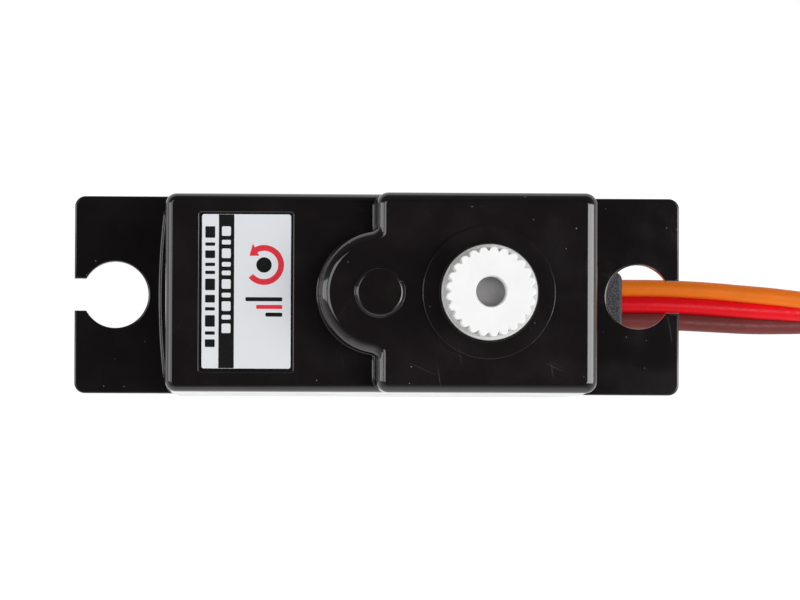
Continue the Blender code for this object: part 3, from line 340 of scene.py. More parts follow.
def noise(tree, vector, size, detail=4.0, roughness=0.55):
    """Noise with features of a size in millimetres."""
    inputs = {"Vector": vector, "Scale": 1.0 / size, "Detail": detail, "Roughness": roughness}
    return add_node(tree, "ShaderNodeTexNoise", inputs).outputs["Fac"]


def remap(tree, value, low, high, to_low, to_high):
    inputs = {0: value, 1: low, 2: high, 3: to_low, 4: to_high}
    return add_node(tree, "ShaderNodeMapRange", inputs, interpolation_type="SMOOTHSTEP").outputs[0]


def blend(tree, factor, a, b):
    """Mix two colours."""
    inputs = {0: factor, 6: a, 7: b}
    return add_node(tree, "ShaderNodeMix", inputs, data_type="RGBA").outputs[2]


def contrast(tree, value, low=0.3, high=0.7):
    """A noise value spread to the whole range from 0 to 1."""
    return remap(tree, value, low, high, 0.0, 1.0)


def arithmetic(tree, operation, a, b):
    return add_node(tree, "ShaderNodeMath", {0: a, 1: b}, operation=operation).outputs[0]


def times(tree, value, factor):
    return arithmetic(tree, "MULTIPLY", value, factor)


def larger(tree, a, b):
    return arithmetic(tree, "MAXIMUM", a, b)


def new_material(name, roughness, metallic=0.0):
    material = bpy.data.materials.new(name)
    material.use_nodes = True
    shader = material.node_tree.nodes["Principled BSDF"]
    shader.inputs["Roughness"].default_value = roughness
    shader.inputs["Metallic"].default_value = metallic
    return material, material.node_tree, shader


def set_bump(tree, shader, height, distance):
    """Relief on a surface, with its depth in millimetres."""
    inputs = {"Height": height, "Distance": distance * MM, "Strength": 1.0}
    bump = add_node(tree, "ShaderNodeBump", inputs)
    tree.links.new(bump.outputs[0], shader.inputs["Normal"])


def shade(color, factor):
    return (*[c * factor for c in color], 1.0)


def moulded(name, color, roughness, mottle=0.25, grain=0.12, relief=0.004, shine=0.5):
    """Moulded plastic, rubber or film: a slow mottle in its colour and a fine grain in its relief."""
    material, tree, shader = new_material(name, roughness)
    place = object_coordinates(tree)
    slow, fine = noise(tree, place, 2.2), noise(tree, place, grain, 6.0)
    darker, lighter = shade(color, 1 - mottle), shade(color, 1 + mottle * 0.6)
    tree.links.new(blend(tree, contrast(tree, slow), darker, lighter), shader.inputs["Base Color"])
    gloss = remap(tree, fine, 0.3, 0.7, roughness * 0.7, roughness * 1.3)
    shader.inputs["Specular IOR Level"].default_value = shine
    tree.links.new(gloss, shader.inputs["Roughness"])
    set_bump(tree, shader, fine, relief)
    return material


def glossy_case(name, color, roughness):
    """Glossy black moulded plastic with a faint haze, hairline scratches and specks of dust."""
    material, tree, shader = new_material(name, roughness)
    shader.inputs["Specular IOR Level"].default_value = 0.7
    place = object_coordinates(tree)
    haze = contrast(tree, noise(tree, place, 3.0, 3.0), 0.35, 0.7)
    hairlines = None
    for turn in (24.0, -52.0, 81.0):
        along = object_coordinates(tree, (0.12, 9.0, 1.0), turn)
        line = contrast(tree, noise(tree, along, 1.0, 2.0, 0.4), 0.70, 0.74)
        hairlines = line if hairlines is None else larger(tree, hairlines, line)
    patches = contrast(tree, noise(tree, place, 4.0, 2.0), 0.5, 0.62)
    hairlines = times(tree, hairlines, patches)
    cells = add_node(tree, "ShaderNodeTexVoronoi", {"Vector": place, "Scale": 1.5})
    chance = add_node(tree, "ShaderNodeSeparateColor", {0: cells.outputs["Color"]}).outputs[0]
    speck_radius = remap(tree, chance, 0.35, 1.0, 0.0, 0.07)
    speck = arithmetic(tree, "LESS_THAN", cells.outputs["Distance"], speck_radius)
    dusty = blend(tree, haze, shade(color, 0.9), shade(color, 1.12))
    dusty = blend(tree, times(tree, hairlines, 0.15), dusty, (0.04, 0.038, 0.037, 1.0))
    dusty = blend(tree, times(tree, speck, 0.7), dusty, (0.2, 0.19, 0.18, 1.0))
    tree.links.new(dusty, shader.inputs["Base Color"])
    worn = larger(tree, times(tree, hairlines, 0.22), times(tree, speck, 0.7))
    gloss = larger(tree, remap(tree, haze, 0.0, 1.0, roughness * 0.8, roughness * 1.3), worn)
    tree.links.new(gloss, shader.inputs["Roughness"])
    peel = times(tree, noise(tree, place, 0.5, 2.0), 0.5)
    set_bump(tree, shader, arithmetic(tree, "ADD", peel, times(tree, speck, 1.5)), 0.003)
    return material


def metal(name, color, roughness, stretch=(1.0, 1.0, 1.0), grain=0.15, relief=0.003):
    """Bare metal, with fine lines where it was drawn or turned and a slight change of tone."""
    material, tree, shader = new_material(name, roughness, 1.0)
    lines = noise(tree, object_coordinates(tree, stretch), grain, 5.0)
    tone = noise(tree, object_coordinates(tree), 1.6, 3.0)
    tint = blend(tree, contrast(tree, tone), shade(color, 0.8), shade(color, 1.1))
    tree.links.new(tint, shader.inputs["Base Color"])
    gloss = remap(tree, lines, 0.3, 0.7, roughness * 0.7, roughness * 1.35)
    tree.links.new(gloss, shader.inputs["Roughness"])
    set_bump(tree, shader, lines, relief)
    return material


def speckled_rubber(name, color):
    """Rubber from a spark-eroded mould: a coarse speckle of raised and dull spots."""
    material, tree, shader = new_material(name, 0.6)
    place = object_coordinates(tree)
    coarse, fine = noise(tree, place, 0.11, 3.0, 0.75), noise(tree, place, 0.04, 2.0)
    spots = contrast(tree, coarse, 0.4, 0.62)
    tree.links.new(blend(tree, spots, shade(color, 0.45), shade(color, 1.9)), shader.inputs["Base Color"])
    tree.links.new(remap(tree, coarse, 0.35, 0.65, 0.75, 0.42), shader.inputs["Roughness"])
    set_bump(tree, shader, arithmetic(tree, "ADD", coarse, times(tree, fine, 0.4)), 0.05)
    return material


def white_nylon(name, color):
    """White moulded nylon, with a faint change of tone and a fine dull grain."""
    material, tree, shader = new_material(name, 0.42)
    place = object_coordinates(tree)
    slow, fine = noise(tree, place, 1.8), noise(tree, place, 0.09, 5.0)
    tint = blend(tree, contrast(tree, slow), shade(color, 0.975), shade(color, 1.015))
    tree.links.new(tint, shader.inputs["Base Color"])
    tree.links.new(remap(tree, fine, 0.3, 0.7, 0.34, 0.5), shader.inputs["Roughness"])
    set_bump(tree, shader, fine, 0.004)
    return material


def circuit_laminate(name, color):
    """A green board: solder mask over a lattice of copper tracks."""
    material, tree, shader = new_material(name, 0.35)
    place = object_coordinates(tree)
    tracks = add_node(tree, "ShaderNodeTexBrick", {"Vector": place, "Scale": 0.8, "Mortar Size": 0.05})
    raised = tracks.outputs["Fac"]
    tree.links.new(blend(tree, raised, shade(color, 0.8), shade(color, 1.9)), shader.inputs["Base Color"])
    tree.links.new(remap(tree, noise(tree, place, 0.1), 0.3, 0.7, 0.25, 0.45), shader.inputs["Roughness"])
    set_bump(tree, shader, raised, 0.02)
    return material


def make_materials():
    """A material for each of the record's slots, for the inks, and for the painted shade on the output gear's
    hole floor and collar.
    """
    colors = {m["slot"]: m["base_color"] for m in frame["record"]["materials"]}
    drawn, turned_lines, layered, wound = (6.0, 6.0, 0.4), (0.6, 0.6, 8.0), (0.2, 0.2, 14.0), (0.3, 0.3, 10.0)
    made = {
        "case_plastic": glossy_case("case_gloss", (0.0098, 0.0077, 0.0082), 0.085),
        "steel": metal("steel_bright", colors["steel"], 0.26, turned_lines),
        "motor_can": metal("steel_drawn", colors["motor_can"], 0.36, drawn),
        "motor_core": metal("steel_stacked", colors["motor_core"], 0.45, layered, 1.0, 0.02),
        "white_nylon": white_nylon("nylon_white", (0.9, 0.905, 0.9)),
        "cream_nylon": moulded("nylon_cream", colors["cream_nylon"], 0.42, 0.05, 0.1),
        "bronze": metal("bronze_sintered", colors["bronze"], 0.5, grain=0.08, relief=0.01),
        "brass": metal("brass_turned", colors["brass"], 0.3, turned_lines),
        "copper": metal("copper_bars", colors["copper"], 0.32, turned_lines),
        "magnet_wire": metal("wire_enamelled", colors["magnet_wire"], 0.34, wound, 1.0, 0.06),
        "ferrite": moulded("ferrite_dull", colors["ferrite"], 0.62, 0.2, 0.08, 0.01),
        "carbon": moulded("carbon_pressed", colors["carbon"], 0.55, 0.3, 0.06, 0.01),
        "grey_plastic": moulded("plastic_grey", colors["grey_plastic"], 0.48, 0.12, 0.1),
        "circuit_board": circuit_laminate("board_green", colors["circuit_board"]),
        "chip": moulded("chip_black", colors["chip"], 0.5, 0.2, 0.06, 0.006),
        "capacitor_can": metal("can_aluminium", colors["capacitor_can"], 0.28, drawn),
        "resin": moulded("resin_brown", colors["resin"], 0.5, 0.15, 0.08),
        "relief_rubber": speckled_rubber("rubber_speckled", colors["relief_rubber"]),
        "label": moulded("film_white", colors["label"], 0.4, 0.006, 0.5, 0.0006, 0.35),
        "wire_orange": moulded("insulation_orange", (0.86, 0.19, 0.012), 0.4, 0.05, 0.35, 0.01, 0.16),
        "wire_red": moulded("insulation_red", (0.8, 0.005, 0.014), 0.38, 0.06, 0.35, 0.01, 0.18),
        "wire_brown": moulded("insulation_brown", (0.17, 0.035, 0.033), 0.44, 0.08, 0.35, 0.01, 0.2),
        "connector": moulded("connector_black", colors["connector"], 0.4, 0.15, 0.07, 0.006),
        "tie": moulded("tie_black", colors["tie"], 0.36, 0.15, 0.1, 0.006),
    }
    # Painted shade: a grey nylon for the output gear's collar and the faces below it, standing in for the
    # shade round the foot of the spline.
    made["collar"] = white_nylon("nylon_grey_painted_shade", (0.6, 0.6, 0.59))
    # Painted shade: a dark grey for the floor of the horn screw's hole, standing in for the shade deep in the
    # hole.
    made["hole_floor_painted_shade"] = moulded("nylon_dark_painted_shade", (0.27, 0.26, 0.265), 0.6, 0.12, 0.25, 0.01)
    made["print_black"] = moulded("print_black", (0.01, 0.01, 0.011), 0.25, 0.15, 0.08, 0.001, 0.1)
    made["print_red"] = moulded("print_red", (0.72, 0.012, 0.03), 0.32, 0.05, 0.08, 0.002)
    return made


# ---------------------------------------------------------------- case


def screw_places():
    return [(sx * SCREW_X, sy * SCREW_Y) for sx in (-1, 1) for sy in (-1, 1)]


def posts(radius, low, high, places=None):
    """Round posts at the case screws, in one mesh."""
    return together(*[cylinder(radius, low, high, at, 48) for at in places or screw_places()])


def room(inset, low, high, left=None):
    """The inside of the case. Each level is inset a little differently, so that no two faces coincide."""
    half_x, half_y = CASE_LENGTH / 2 - WALL - inset, CASE_WIDTH / 2 - WALL - inset
    left = -half_x if left is None else left
    corner = 0.4
    return prism(rounded_rectangle((left, half_x), (-half_y, half_y), corner, 6), low, high)


def hump_with_lobe():
    """The hump's outline, a little inside its walls, with the idler's round lobe blended to its left."""
    left, right, half, r = HUMP_LEFT + 0.03, HUMP_RIGHT - 0.06, HUMP_HALF_WIDTH - 0.06, 1.0
    centre_x = left - LOBE_BLEND
    centre_y = math.sqrt((LOBE_RADIUS + LOBE_BLEND) ** 2 - (centre_x - IDLER_X) ** 2)
    touch = math.degrees(math.atan2(centre_y, centre_x - IDLER_X))
    return (
        arc((right - r, half - r), r, 0, 90)
        + arc((left + r, half - r), r, 90, 180)
        + arc((centre_x, centre_y), LOBE_BLEND, 0, touch - 180, 8)
        + arc((IDLER_X, 0.0), LOBE_RADIUS, touch, 360 - touch, 64)[1:-1]
        + arc((centre_x, -centre_y), LOBE_BLEND, 180 - touch, 0, 8)
        + arc((left + r, -half + r), r, 180, 270)
        + arc((right - r, -half + r), r, 270, 360)
    )


def rising(outline, top, fillet, flare, draft):
    """A raised part of the cover. Its wall slopes and its foot flares on the left only, above the low part."""
    outline = refined(outline, 0.6)
    x, y = np.array(outline).T
    on_left = np.clip((0.5 - x) / 0.4, 0.0, 1.0)
    share = on_left * np.clip((HUMP_HALF_WIDTH - np.abs(y)) / HUMP_CORNER, 0.0, 1.0)
    wall_top = top - fillet
    wall = []
    for inset, height in [(-flare, LOW_TOP - 2 * SUNK), *foot(LOW_TOP, flare)]:
        slope = draft * (wall_top - height) / (wall_top - LOW_TOP)
        wall.append(((inset - slope) * share, height))
    return stack(outline, [*wall, *rim(top, fillet, 10)])


def low_part():
    """The cover's low box. Its long sides lean in, and its rim tightens towards the left end."""
    half = COVER_WIDTH / 2
    outline = rounded_rectangle((-COVER_LENGTH / 2, HUMP_RIGHT), (-half, half), CASE_CORNER)
    x, y = np.array(outline).T
    on_long_side = np.clip((np.abs(y) - half + CASE_CORNER) / CASE_CORNER, 0.0, 1.0)
    lean = (COVER_WIDTH - CASE_WIDTH) / 2 * on_long_side
    tightness = 1.0 - 0.3 * np.clip(-x / 6.0, 0.0, 1.0)
    edge = [(inset * tightness, height) for inset, height in rim(LOW_TOP, TOP_FILLET, 10)]
    return stack(outline, [(lean, TOP_SPLIT + SEAM), *edge])


def boss(radius, at, base, top, flare, rounding, rim_steps, steps):
    """A round boss on a surface, with a small fillet at its foot."""
    profile = [(-flare, base - SUNK), *foot(base, flare, 3), *rim(top, rounding, rim_steps)]
    return stack(circle(radius, at, steps), profile)


def label_recess():
    """The shallow recess under the label, with a broken edge."""
    floor = LOW_TOP - RECESS_DEPTH
    profile = [(0.05, floor), (0.0, floor + 0.05), (0.0, LOW_TOP - 0.05), (-0.02, LOW_TOP - 0.02)]
    profile += [(-0.06, LOW_TOP + 0.005), (-0.06, LOW_TOP + PAST)]
    return stack(rounded_rectangle(RECESS_X, RECESS_Y, 0.12, 4), profile)


def shaft_bore():
    """The bush's seat, the output gear's hole above it, and the hole's broken edge."""
    hole, edge, top = RING_HOLE_RADIUS, RING_HOLE_RADIUS + 0.07, RING_BOSS_TOP
    profile = [(0.0, 27.0), (BUSH_RADIUS, 27.0), (BUSH_RADIUS, BUSH_TOP), (hole, BUSH_TOP)]
    profile += [(hole, top - 0.06), (edge, top + 0.01), (edge, top + PAST), (0.0, top + PAST)]
    return placed(turned(profile, 128), (OUTPUT_X, 0.0, 0.0))


def make_top_cover(materials):
    hump_outline = rounded_rectangle(
        (HUMP_LEFT, HUMP_RIGHT), (-HUMP_HALF_WIDTH, HUMP_HALF_WIDTH), HUMP_CORNER
    )
    hump = rising(hump_outline, HUMP_TOP, TOP_FILLET, 0.1, 0.15)
    lobe = rising(hump_with_lobe(), LOBE_TOP, LOBE_FILLET, 0.08, 0.0)
    idler, output = (IDLER_X, 0.0), (OUTPUT_X, 0.0)
    axle_boss = boss(AXLE_BOSS_RADIUS, idler, LOBE_TOP, AXLE_BOSS_TOP, 0.07, 0.23, 8, 96)
    ring_boss = boss(RING_BOSS_RADIUS, output, HUMP_TOP, RING_BOSS_TOP, 0.02, 0.02, 3, 128)
    cover = join(low_part(), lobe, hump, axle_boss, ring_boss)
    low_ceiling, hump_ceiling = LOW_TOP - CEILING, HUMP_TOP - CEILING
    hump_room = room(0.1, 24.0, hump_ceiling, HUMP_LEFT + WALL)
    lobe_room = cylinder(3.05, 24.2, LOBE_TOP - CEILING + 0.05, idler)
    cover = cut(cover, room(0.05, TOP_SPLIT - PAST, low_ceiling), hump_room, lobe_room)
    left_places = [place for place in screw_places() if place[0] < 0]
    right_places = [place for place in screw_places() if place[0] > 0]
    inner, outer = STOP_RADII
    stop = arc(output, inner, STOP_HALF_ANGLE, -STOP_HALF_ANGLE, 6)
    stop += arc(output, outer, -STOP_HALF_ANGLE, STOP_HALF_ANGLE, 6)
    cover = join(
        cover,
        posts(POST_RADIUS, TOP_SPLIT + 0.2, low_ceiling + OVERLAP, left_places),
        posts(POST_RADIUS, TOP_SPLIT + 0.2, hump_ceiling + OVERLAP, right_places),
        prism(stop, STOP_LOW, hump_ceiling + OVERLAP),
    )
    screw_holes = posts(SCREW_HOLE, TOP_SPLIT - PAST, SCREW_TOP + 0.3)
    axle_socket = cylinder(AXLE_SOCKET_RADIUS, 27.0, 29.3, idler)
    cover = cut(cover, together(screw_holes, axle_socket, shaft_bore(), label_recess()))
    add_piece("gearbox_cover", cover, [materials["case_plastic"]], "case", ["top_cover"])


def keyhole(side):
    """One tab's round hole with the slot that opens it to the tab's end, as a notch in the tabs' outline."""
    radius = TAB_HOLE_RADII[side]
    lean = math.degrees(math.asin(TAB_SLOT_HALF / radius))
    start, end = (-lean, lean - 360) if side > 0 else (180 - lean, lean - 180)
    round_part = arc((side * TAB_HOLE_X, 0.0), radius, start, end, 72)
    mouth = side * TAB_LENGTH / 2
    return [(mouth, -side * TAB_SLOT_HALF), *round_part, (mouth, side * TAB_SLOT_HALF)]


def tab_outline():
    right, top, r = TAB_LENGTH / 2, TAB_WIDTH / 2, CASE_CORNER
    return (
        arc((right - r, top - r), r, 0, 90, 12)
        + arc((r - right, top - r), r, 90, 180, 12)
        + keyhole(-1)
        + arc((r - right, r - top), r, 180, 270, 12)
        + arc((right - r, r - top), r, 270, 360, 12)
        + keyhole(1)
    )


def end_pad():
    """The thin crowned pad on the left end wall, above the tab, with a step round its top."""
    wall, half = -CASE_LENGTH / 2, PAD_HALF_WIDTH
    shares = np.linspace(-1.0, 1.0, 41)
    crown = [(wall - PAD_EDGE - PAD_CROWN * (1 - s * s), -s * half) for s in shares]
    outline = [(wall + OVERLAP, half), *crown, (wall + OVERLAP, -half)]
    step = [(inset + PAD_STEP, height) for inset, height in rim(TOP_SPLIT - 0.06, 0.06, 3)]
    return stack(outline, [(0.0, TAB_HIGH - OVERLAP), *rim(TOP_SPLIT - 0.3, 0.08, 3), *step])


def relief_slot(low, high):
    """The opening in the right end wall that holds the strain relief."""
    half = RELIEF_HALF_WIDTH + RELIEF_PLAY
    return block(RELIEF_SLOT_X, (-half, half), (low, high))


def make_middle_case(materials):
    case = stack(
        centred_rectangle(CASE_LENGTH, CASE_WIDTH, CASE_CORNER),
        [*lower_rim(BOTTOM_SPLIT + SEAM, 0.06, 2), *rim(TOP_SPLIT, 0.12, 4)],
    )
    tabs = stack(tab_outline(), [*lower_rim(TAB_LOW, 0.08, 3), *rim(TAB_HIGH, 0.12, 4)])
    case = join(case, tabs, end_pad())
    case = cut(case, room(0.0, BOTTOM_SPLIT - PAST, DECK_LOW - 0.02), room(0.05, DECK_HIGH, TOP_SPLIT + PAST))
    deck_boss = cylinder(DECK_BOSS_RADIUS, DECK_HIGH - OVERLAP, DECK_BOSS_TOP, (OUTPUT_X, 0.0))
    case = join(case, together(posts(POST_RADIUS, BOTTOM_SPLIT + 0.2, TOP_SPLIT - 0.15), deck_boss))
    below, above = DECK_LOW - PAST, DECK_HIGH + PAST
    holes = together(
        posts(SCREW_HOLE, BOTTOM_SPLIT - PAST, TOP_SPLIT + PAST),
        cylinder(SHAFT_HOLE_RADIUS, below, DECK_BOSS_TOP + PAST, (OUTPUT_X, 0.0)),
        cylinder(MOTOR_HOLE_RADIUS, below, above, (MOTOR_X, 0.0)),
        cylinder(AXLE_HOLE_RADIUS, DECK_LOW + 0.3, above, (IDLER_X, 0.0)),
        relief_slot(BOTTOM_SPLIT - PAST, RELIEF_HIGH + RELIEF_PLAY),
    )
    case = cut(case, holes)
    add_piece("gearbox_base", case, [materials["case_plastic"]], "case", ["middle_case"])


def make_bottom_cover(materials):
    cover = stack(
        centred_rectangle(CASE_LENGTH, CASE_WIDTH, CASE_CORNER),
        [*lower_rim(0.0, 0.35, 6), *rim(BOTTOM_SPLIT, 0.06, 2)],
    )
    cover = cut(cover, room(0.0, FLOOR_THICKNESS, BOTTOM_SPLIT + PAST))
    rib_height = (FLOOR_THICKNESS - OVERLAP, 1.55)
    ribs = [block((x - 0.4, x + 0.4), (-5.9, 5.9), rib_height) for x in (-9.5, 4.0, 9.8)]
    cover = join(cover, together(*ribs), posts(LOW_POST_RADIUS, 0.4, BOTTOM_SPLIT - 0.1))
    seat = [(0.0, -PAST), (1.39, -PAST), (1.39, -0.01), (1.33, 0.06), (1.33, HEAD_DEPTH)]
    seat += [(SCREW_HOLE, HEAD_DEPTH), (SCREW_HOLE, BOTTOM_SPLIT + PAST), (0.0, BOTTOM_SPLIT + PAST)]
    seats = [placed(turned(seat, 48), (x, y, 0.0)) for x, y in screw_places()]
    cover = cut(cover, together(*seats, relief_slot(RELIEF_LOW - RELIEF_PLAY, BOTTOM_SPLIT + PAST)))
    add_piece("motor_cover", cover, [materials["case_plastic"]], "case", ["bottom_cover"])


def make_screws(materials):
    """Pan-head screws, seen only from below, each with a tapered cross recess."""
    low, seat, shank, head = 0.15, 1.25, 0.75, 1.25
    profile = [(0.0, low), (0.75, low), (1.0, low + 0.05), (1.17, low + 0.16), (head, low + 0.34)]
    profile += [(head, seat), (shank, seat), (shank, SCREW_TOP - 0.8), (0.25, SCREW_TOP), (0.0, SCREW_TOP)]
    taper = [(0.0, low - PAST), (0.0, low), (0.08, low + 0.5)]
    for number, (x, y) in enumerate(screw_places(), start=1):
        turn = 13.0 * number
        arms = [placed(stack(centred_rectangle(1.5, 0.3, 0.12, 4), taper), turn=turn + a) for a in (0, 90)]
        screw = placed(cut(turned(profile, 48), *arms), (x, y, 0.0))
        add_piece(f"screw_{number}", screw, [materials["steel"]], "case", [f"case_screw_{number}"])


# ---------------------------------------------------------------- label


def make_label(materials):
    """A white film with a black band and plain printed shapes: bars, dashes and a rotary arrow."""
    low, high = (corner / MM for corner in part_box("label"))
    top = high.z
    film = stack(
        rounded_rectangle((low.x, high.x), (low.y, high.y), 0.15, 6),
        [(0.0, low.z), (0.0, top - 0.02), (0.02, top)],
    )
    printed = [film]
    white, black, red = 0, 1, 2

    def ink(outline, index, level=0):
        shape = prism(outline, top - 0.01, top + 0.004 + 0.003 * level)
        for face in shape.faces:
            face.material_index = index
        printed.append(shape)

    def column(x_range, lengths, gap, rounding, steps, index, level=0):
        y = high.y - 0.8
        for length in lengths:
            ink(rounded_rectangle(x_range, (y - length, y), rounding, steps), index, level)
            y -= length + gap

    band = (low.x + 1.1, low.x + 2.1)
    ink(rounded_rectangle(band, (low.y + 0.02, high.y - 0.02), 0.02, 2), black)
    blocks = (0.62, 0.3, 0.62, 0.3, 0.3, 0.62, 0.3, 0.62, 0.3, 0.62)
    column((band[0] + 0.2, band[1] - 0.22), blocks, 0.26, 0.08, 3, white, 1)
    bars = (0.75, 0.22, 0.5, 0.22, 0.22, 0.75, 0.5, 0.22, 0.75, 0.22, 0.5)
    column((low.x + 0.22, low.x + 0.86), bars, 0.3, 0.05, 2, black)
    centre = (high.x - 1.75, high.y - 3.3)
    ink(arc(centre, 1.3, -140, 120, 48) + arc(centre, 0.92, 120, -140, 48), red)
    ink([on_circle(centre, 1.11, 148), on_circle(centre, 0.68, 118), on_circle(centre, 1.56, 118)], red, 1)
    ink(circle(0.5, centre, 40), black)
    right = centre[0] + 1.2
    for row, (length, index) in enumerate(((2.4, black), (1.7, red), (1.1, black))):
        y = centre[1] - 2.1 - 0.5 * row
        ink(rounded_rectangle((right - length, right), (y - 0.26, y), 0.08, 3), index)
    inks = [materials[name] for name in ("label", "print_black", "print_red")]
    add_piece("label_film", together(*printed), inks, "case", ["label"])


# ---------------------------------------------------------------- output gear


def spline_outline():
    """Rounded spline teeth with narrow rounded roots, drawn from (share of the pitch, share of the depth)."""
    flank = [(-0.5, 0.0), (-0.43, 0.13), (-0.37, 0.42), (-0.3, 0.7), (-0.2, 0.88), (-0.1, 0.97), (0.0, 1.0)]
    shape = flank + [(-across, height) for across, height in reversed(flank[1:-1])]
    points = []
    for tooth in range(SPLINE_TEETH):
        for across, height in shape:
            angle = (tooth + across) * 2 * math.pi / SPLINE_TEETH
            radius = SPLINE_ROOT + (SPLINE_TIP - SPLINE_ROOT) * height
            points.append((radius * math.cos(angle), radius * math.sin(angle)))
    return points


def gear_outline(teeth, module, turn):
    """Straight-sided approximations of the involute teeth, a gap centred on +X if turned by half a pitch."""
    pitch = module * teeth / 2
    pitch_angle = 2 * math.pi / teeth
    radii = (pitch - module, pitch, pitch + 0.8 * module)
    halves = [share * pitch_angle for share in (0.36, 0.24, 0.13)]
    one = list(zip(radii, [-h for h in halves])) + list(zip(reversed(radii), reversed(halves)))
    points = []
    for tooth in range(teeth):
        centre = (tooth + turn) * pitch_angle
        points += [(r * math.cos(centre + a), r * math.sin(centre + a)) for r, a in one]
    return points


def make_output_gear(materials):
    broken_edges = [(0.03, GEAR_LOW), (0.0, GEAR_LOW + 0.04), (0.0, GEAR_HIGH - 0.04), (0.03, GEAR_HIGH)]
    wheel = stack(gear_outline(GEAR_TEETH, GEAR_MODULE, 0.5), broken_edges)
    inner, outer = LUG_RADII
    lug = arc((0, 0), outer, 106, 254, 32) + arc((0, 0), inner, 254, 106, 32)
    journal = stack(circle(JOURNAL_RADIUS, steps=128), [(0.0, GEAR_HIGH - SUNK), *rim(COLLAR_TOP, 0.12, 4)])
    spline_end = [(0.0, SPLINE_TOP - 0.14), (0.02, SPLINE_TOP - 0.05), (0.06, SPLINE_TOP)]
    spline = stack(spline_outline(), [(0.0, COLLAR_TOP - 0.4), *spline_end])
    gear = join(wheel, prism(lug, GEAR_HIGH - 0.4, LUG_TOP), journal, spline)
    shaft_flat = arc((0, 0), 1.04, 50.6, 309.4, 48)
    radius, mouth = HORN_HOLE_RADIUS, HORN_HOLE_RADIUS + 0.09
    hole = [(0.0, HORN_HOLE_FLOOR), (radius, HORN_HOLE_FLOOR), (radius + 0.02, SPLINE_TOP - 0.1)]
    hole += [(mouth, SPLINE_TOP + 0.01), (mouth, SPLINE_TOP + PAST), (0.0, SPLINE_TOP + PAST)]
    gear = cut(gear, prism(shaft_flat, GEAR_LOW - PAST, 27.0), turned(hole))
    # Painted shade: the hole's floor takes the dark grey, and the faces up to the collar's top take the grey.
    for face in gear.faces:
        height = face.calc_center_median().z
        if abs(height - HORN_HOLE_FLOOR) < 0.01:
            face.material_index = 1
        elif height < COLLAR_TOP + 0.01:
            face.material_index = 2
    tones = [materials[name] for name in ("white_nylon", "hole_floor_painted_shade", "collar")]
    gear = placed(gear, (OUTPUT_X, 0.0, 0.0))
    add_piece("output_spline", gear, tones, "output", ["output_gear"])


# ---------------------------------------------------------------- lead


def make_strain_relief(materials):
    half = RELIEF_HALF_WIDTH
    body = stack(
        rounded_rectangle((12.4, RELIEF_END), (-half, half), 0.6),
        [*lower_rim(RELIEF_LOW, 0.4, 6), *rim(RELIEF_HIGH, 0.25, 6)],
    )
    flange = block((11.9, 12.9), (-2.9, 2.9), (RELIEF_LOW - 0.6, RELIEF_HIGH + 0.5))
    relief = join(body, flange)
    add_piece("relief_boot", relief, [materials["relief_rubber"]], "case", ["strain_relief"])


def coil_turns():
    """The lead's path in the coil: a run-in to the outermost turn, then turns that wind inward."""
    centre = Vector(COIL_CENTRE)
    start, entry = Vector(LEAD_ROUTE[-1][:2]) - centre, Vector(TAIL_ROUTE[0][:2]) - centre
    outer, inner = COIL_RADII[1] - WIRE_RADIUS - 0.1, COIL_RADII[0] + WIRE_RADIUS + 0.1
    first = math.degrees(math.atan2(start.y, start.x))
    reach = inner - LAST_ARC_RADIUS
    opening = math.acos((entry.length**2 + reach**2 - LAST_ARC_RADIUS**2) / (2 * entry.length * reach))
    leave = math.degrees(math.atan2(entry.y, entry.x) - opening)
    swept = leave - first + 720.0
    points = []
    for angle in np.arange(8.0, swept, 6.0):
        radius = outer + (start.length - outer) * (1 - ease(angle, 0.0, RUN_IN))
        radius -= (outer - inner) * max(0.0, angle - RUN_IN) / (swept - RUN_IN)
        points.append(on_circle(centre, radius, first + angle))
    arc_centre = Vector(on_circle(centre, reach, leave))
    end = centre + entry - arc_centre
    last = math.degrees(math.atan2(end.y, end.x))
    points += arc(arc_centre, LAST_ARC_RADIUS, leave, last, 12)[:-1]
    middle = (COIL_LOW + COIL_HIGH) / 2
    return [(x, y, middle) for x, y in points]


def smooth_route(points, spacing):
    """Points at an even spacing on a Catmull-Rom curve through the given points."""
    places = [Vector(p) for p in points]
    ends = [2 * places[0] - places[1], *places, 2 * places[-1] - places[-2]]
    dense = []
    for a, b, c, d in zip(ends, ends[1:], ends[2:], ends[3:]):
        slope, bend, twist = c - a, 2 * a - 5 * b + 4 * c - d, 3 * b - a - 3 * c + d
        for step in range(20):
            t = step / 20
            dense.append(0.5 * (2 * b + slope * t + bend * t**2 + twist * t**3))
    dense = np.array([*dense, places[-1]])
    along = np.concatenate([[0.0], np.cumsum(np.linalg.norm(np.diff(dense, axis=0), axis=1))])
    even = np.linspace(0.0, along[-1], round(along[-1] / spacing) + 1)
    return np.stack([np.interp(even, along, dense[:, k]) for k in range(3)], axis=1), even


def ease(value, start, end):
    share = np.clip((value - start) / (end - start), 0.0, 1.0)
    return share * share * (3 - 2 * share)


def tube(centres, sides, ups, radius, index, steps=16):
    """A round wire along its centres, closed at both ends."""
    bm = bmesh.new()
    section = circle(radius, steps=steps)
    rings = []
    for centre, side, up in zip(centres, sides, ups):
        rings.append([bm.verts.new(centre + x * side + y * up) for x, y in section])
    for low, high in zip(rings, rings[1:]):
        for quad in zip(low, low[1:] + low[:1], high[1:] + high[:1], high):
            bm.faces.new(quad)
    bm.faces.new(reversed(rings[0]))
    bm.faces.new(rings[-1])
    bmesh.ops.recalc_face_normals(bm, faces=bm.faces)
    for face in bm.faces:
        face.material_index = index
    return bm


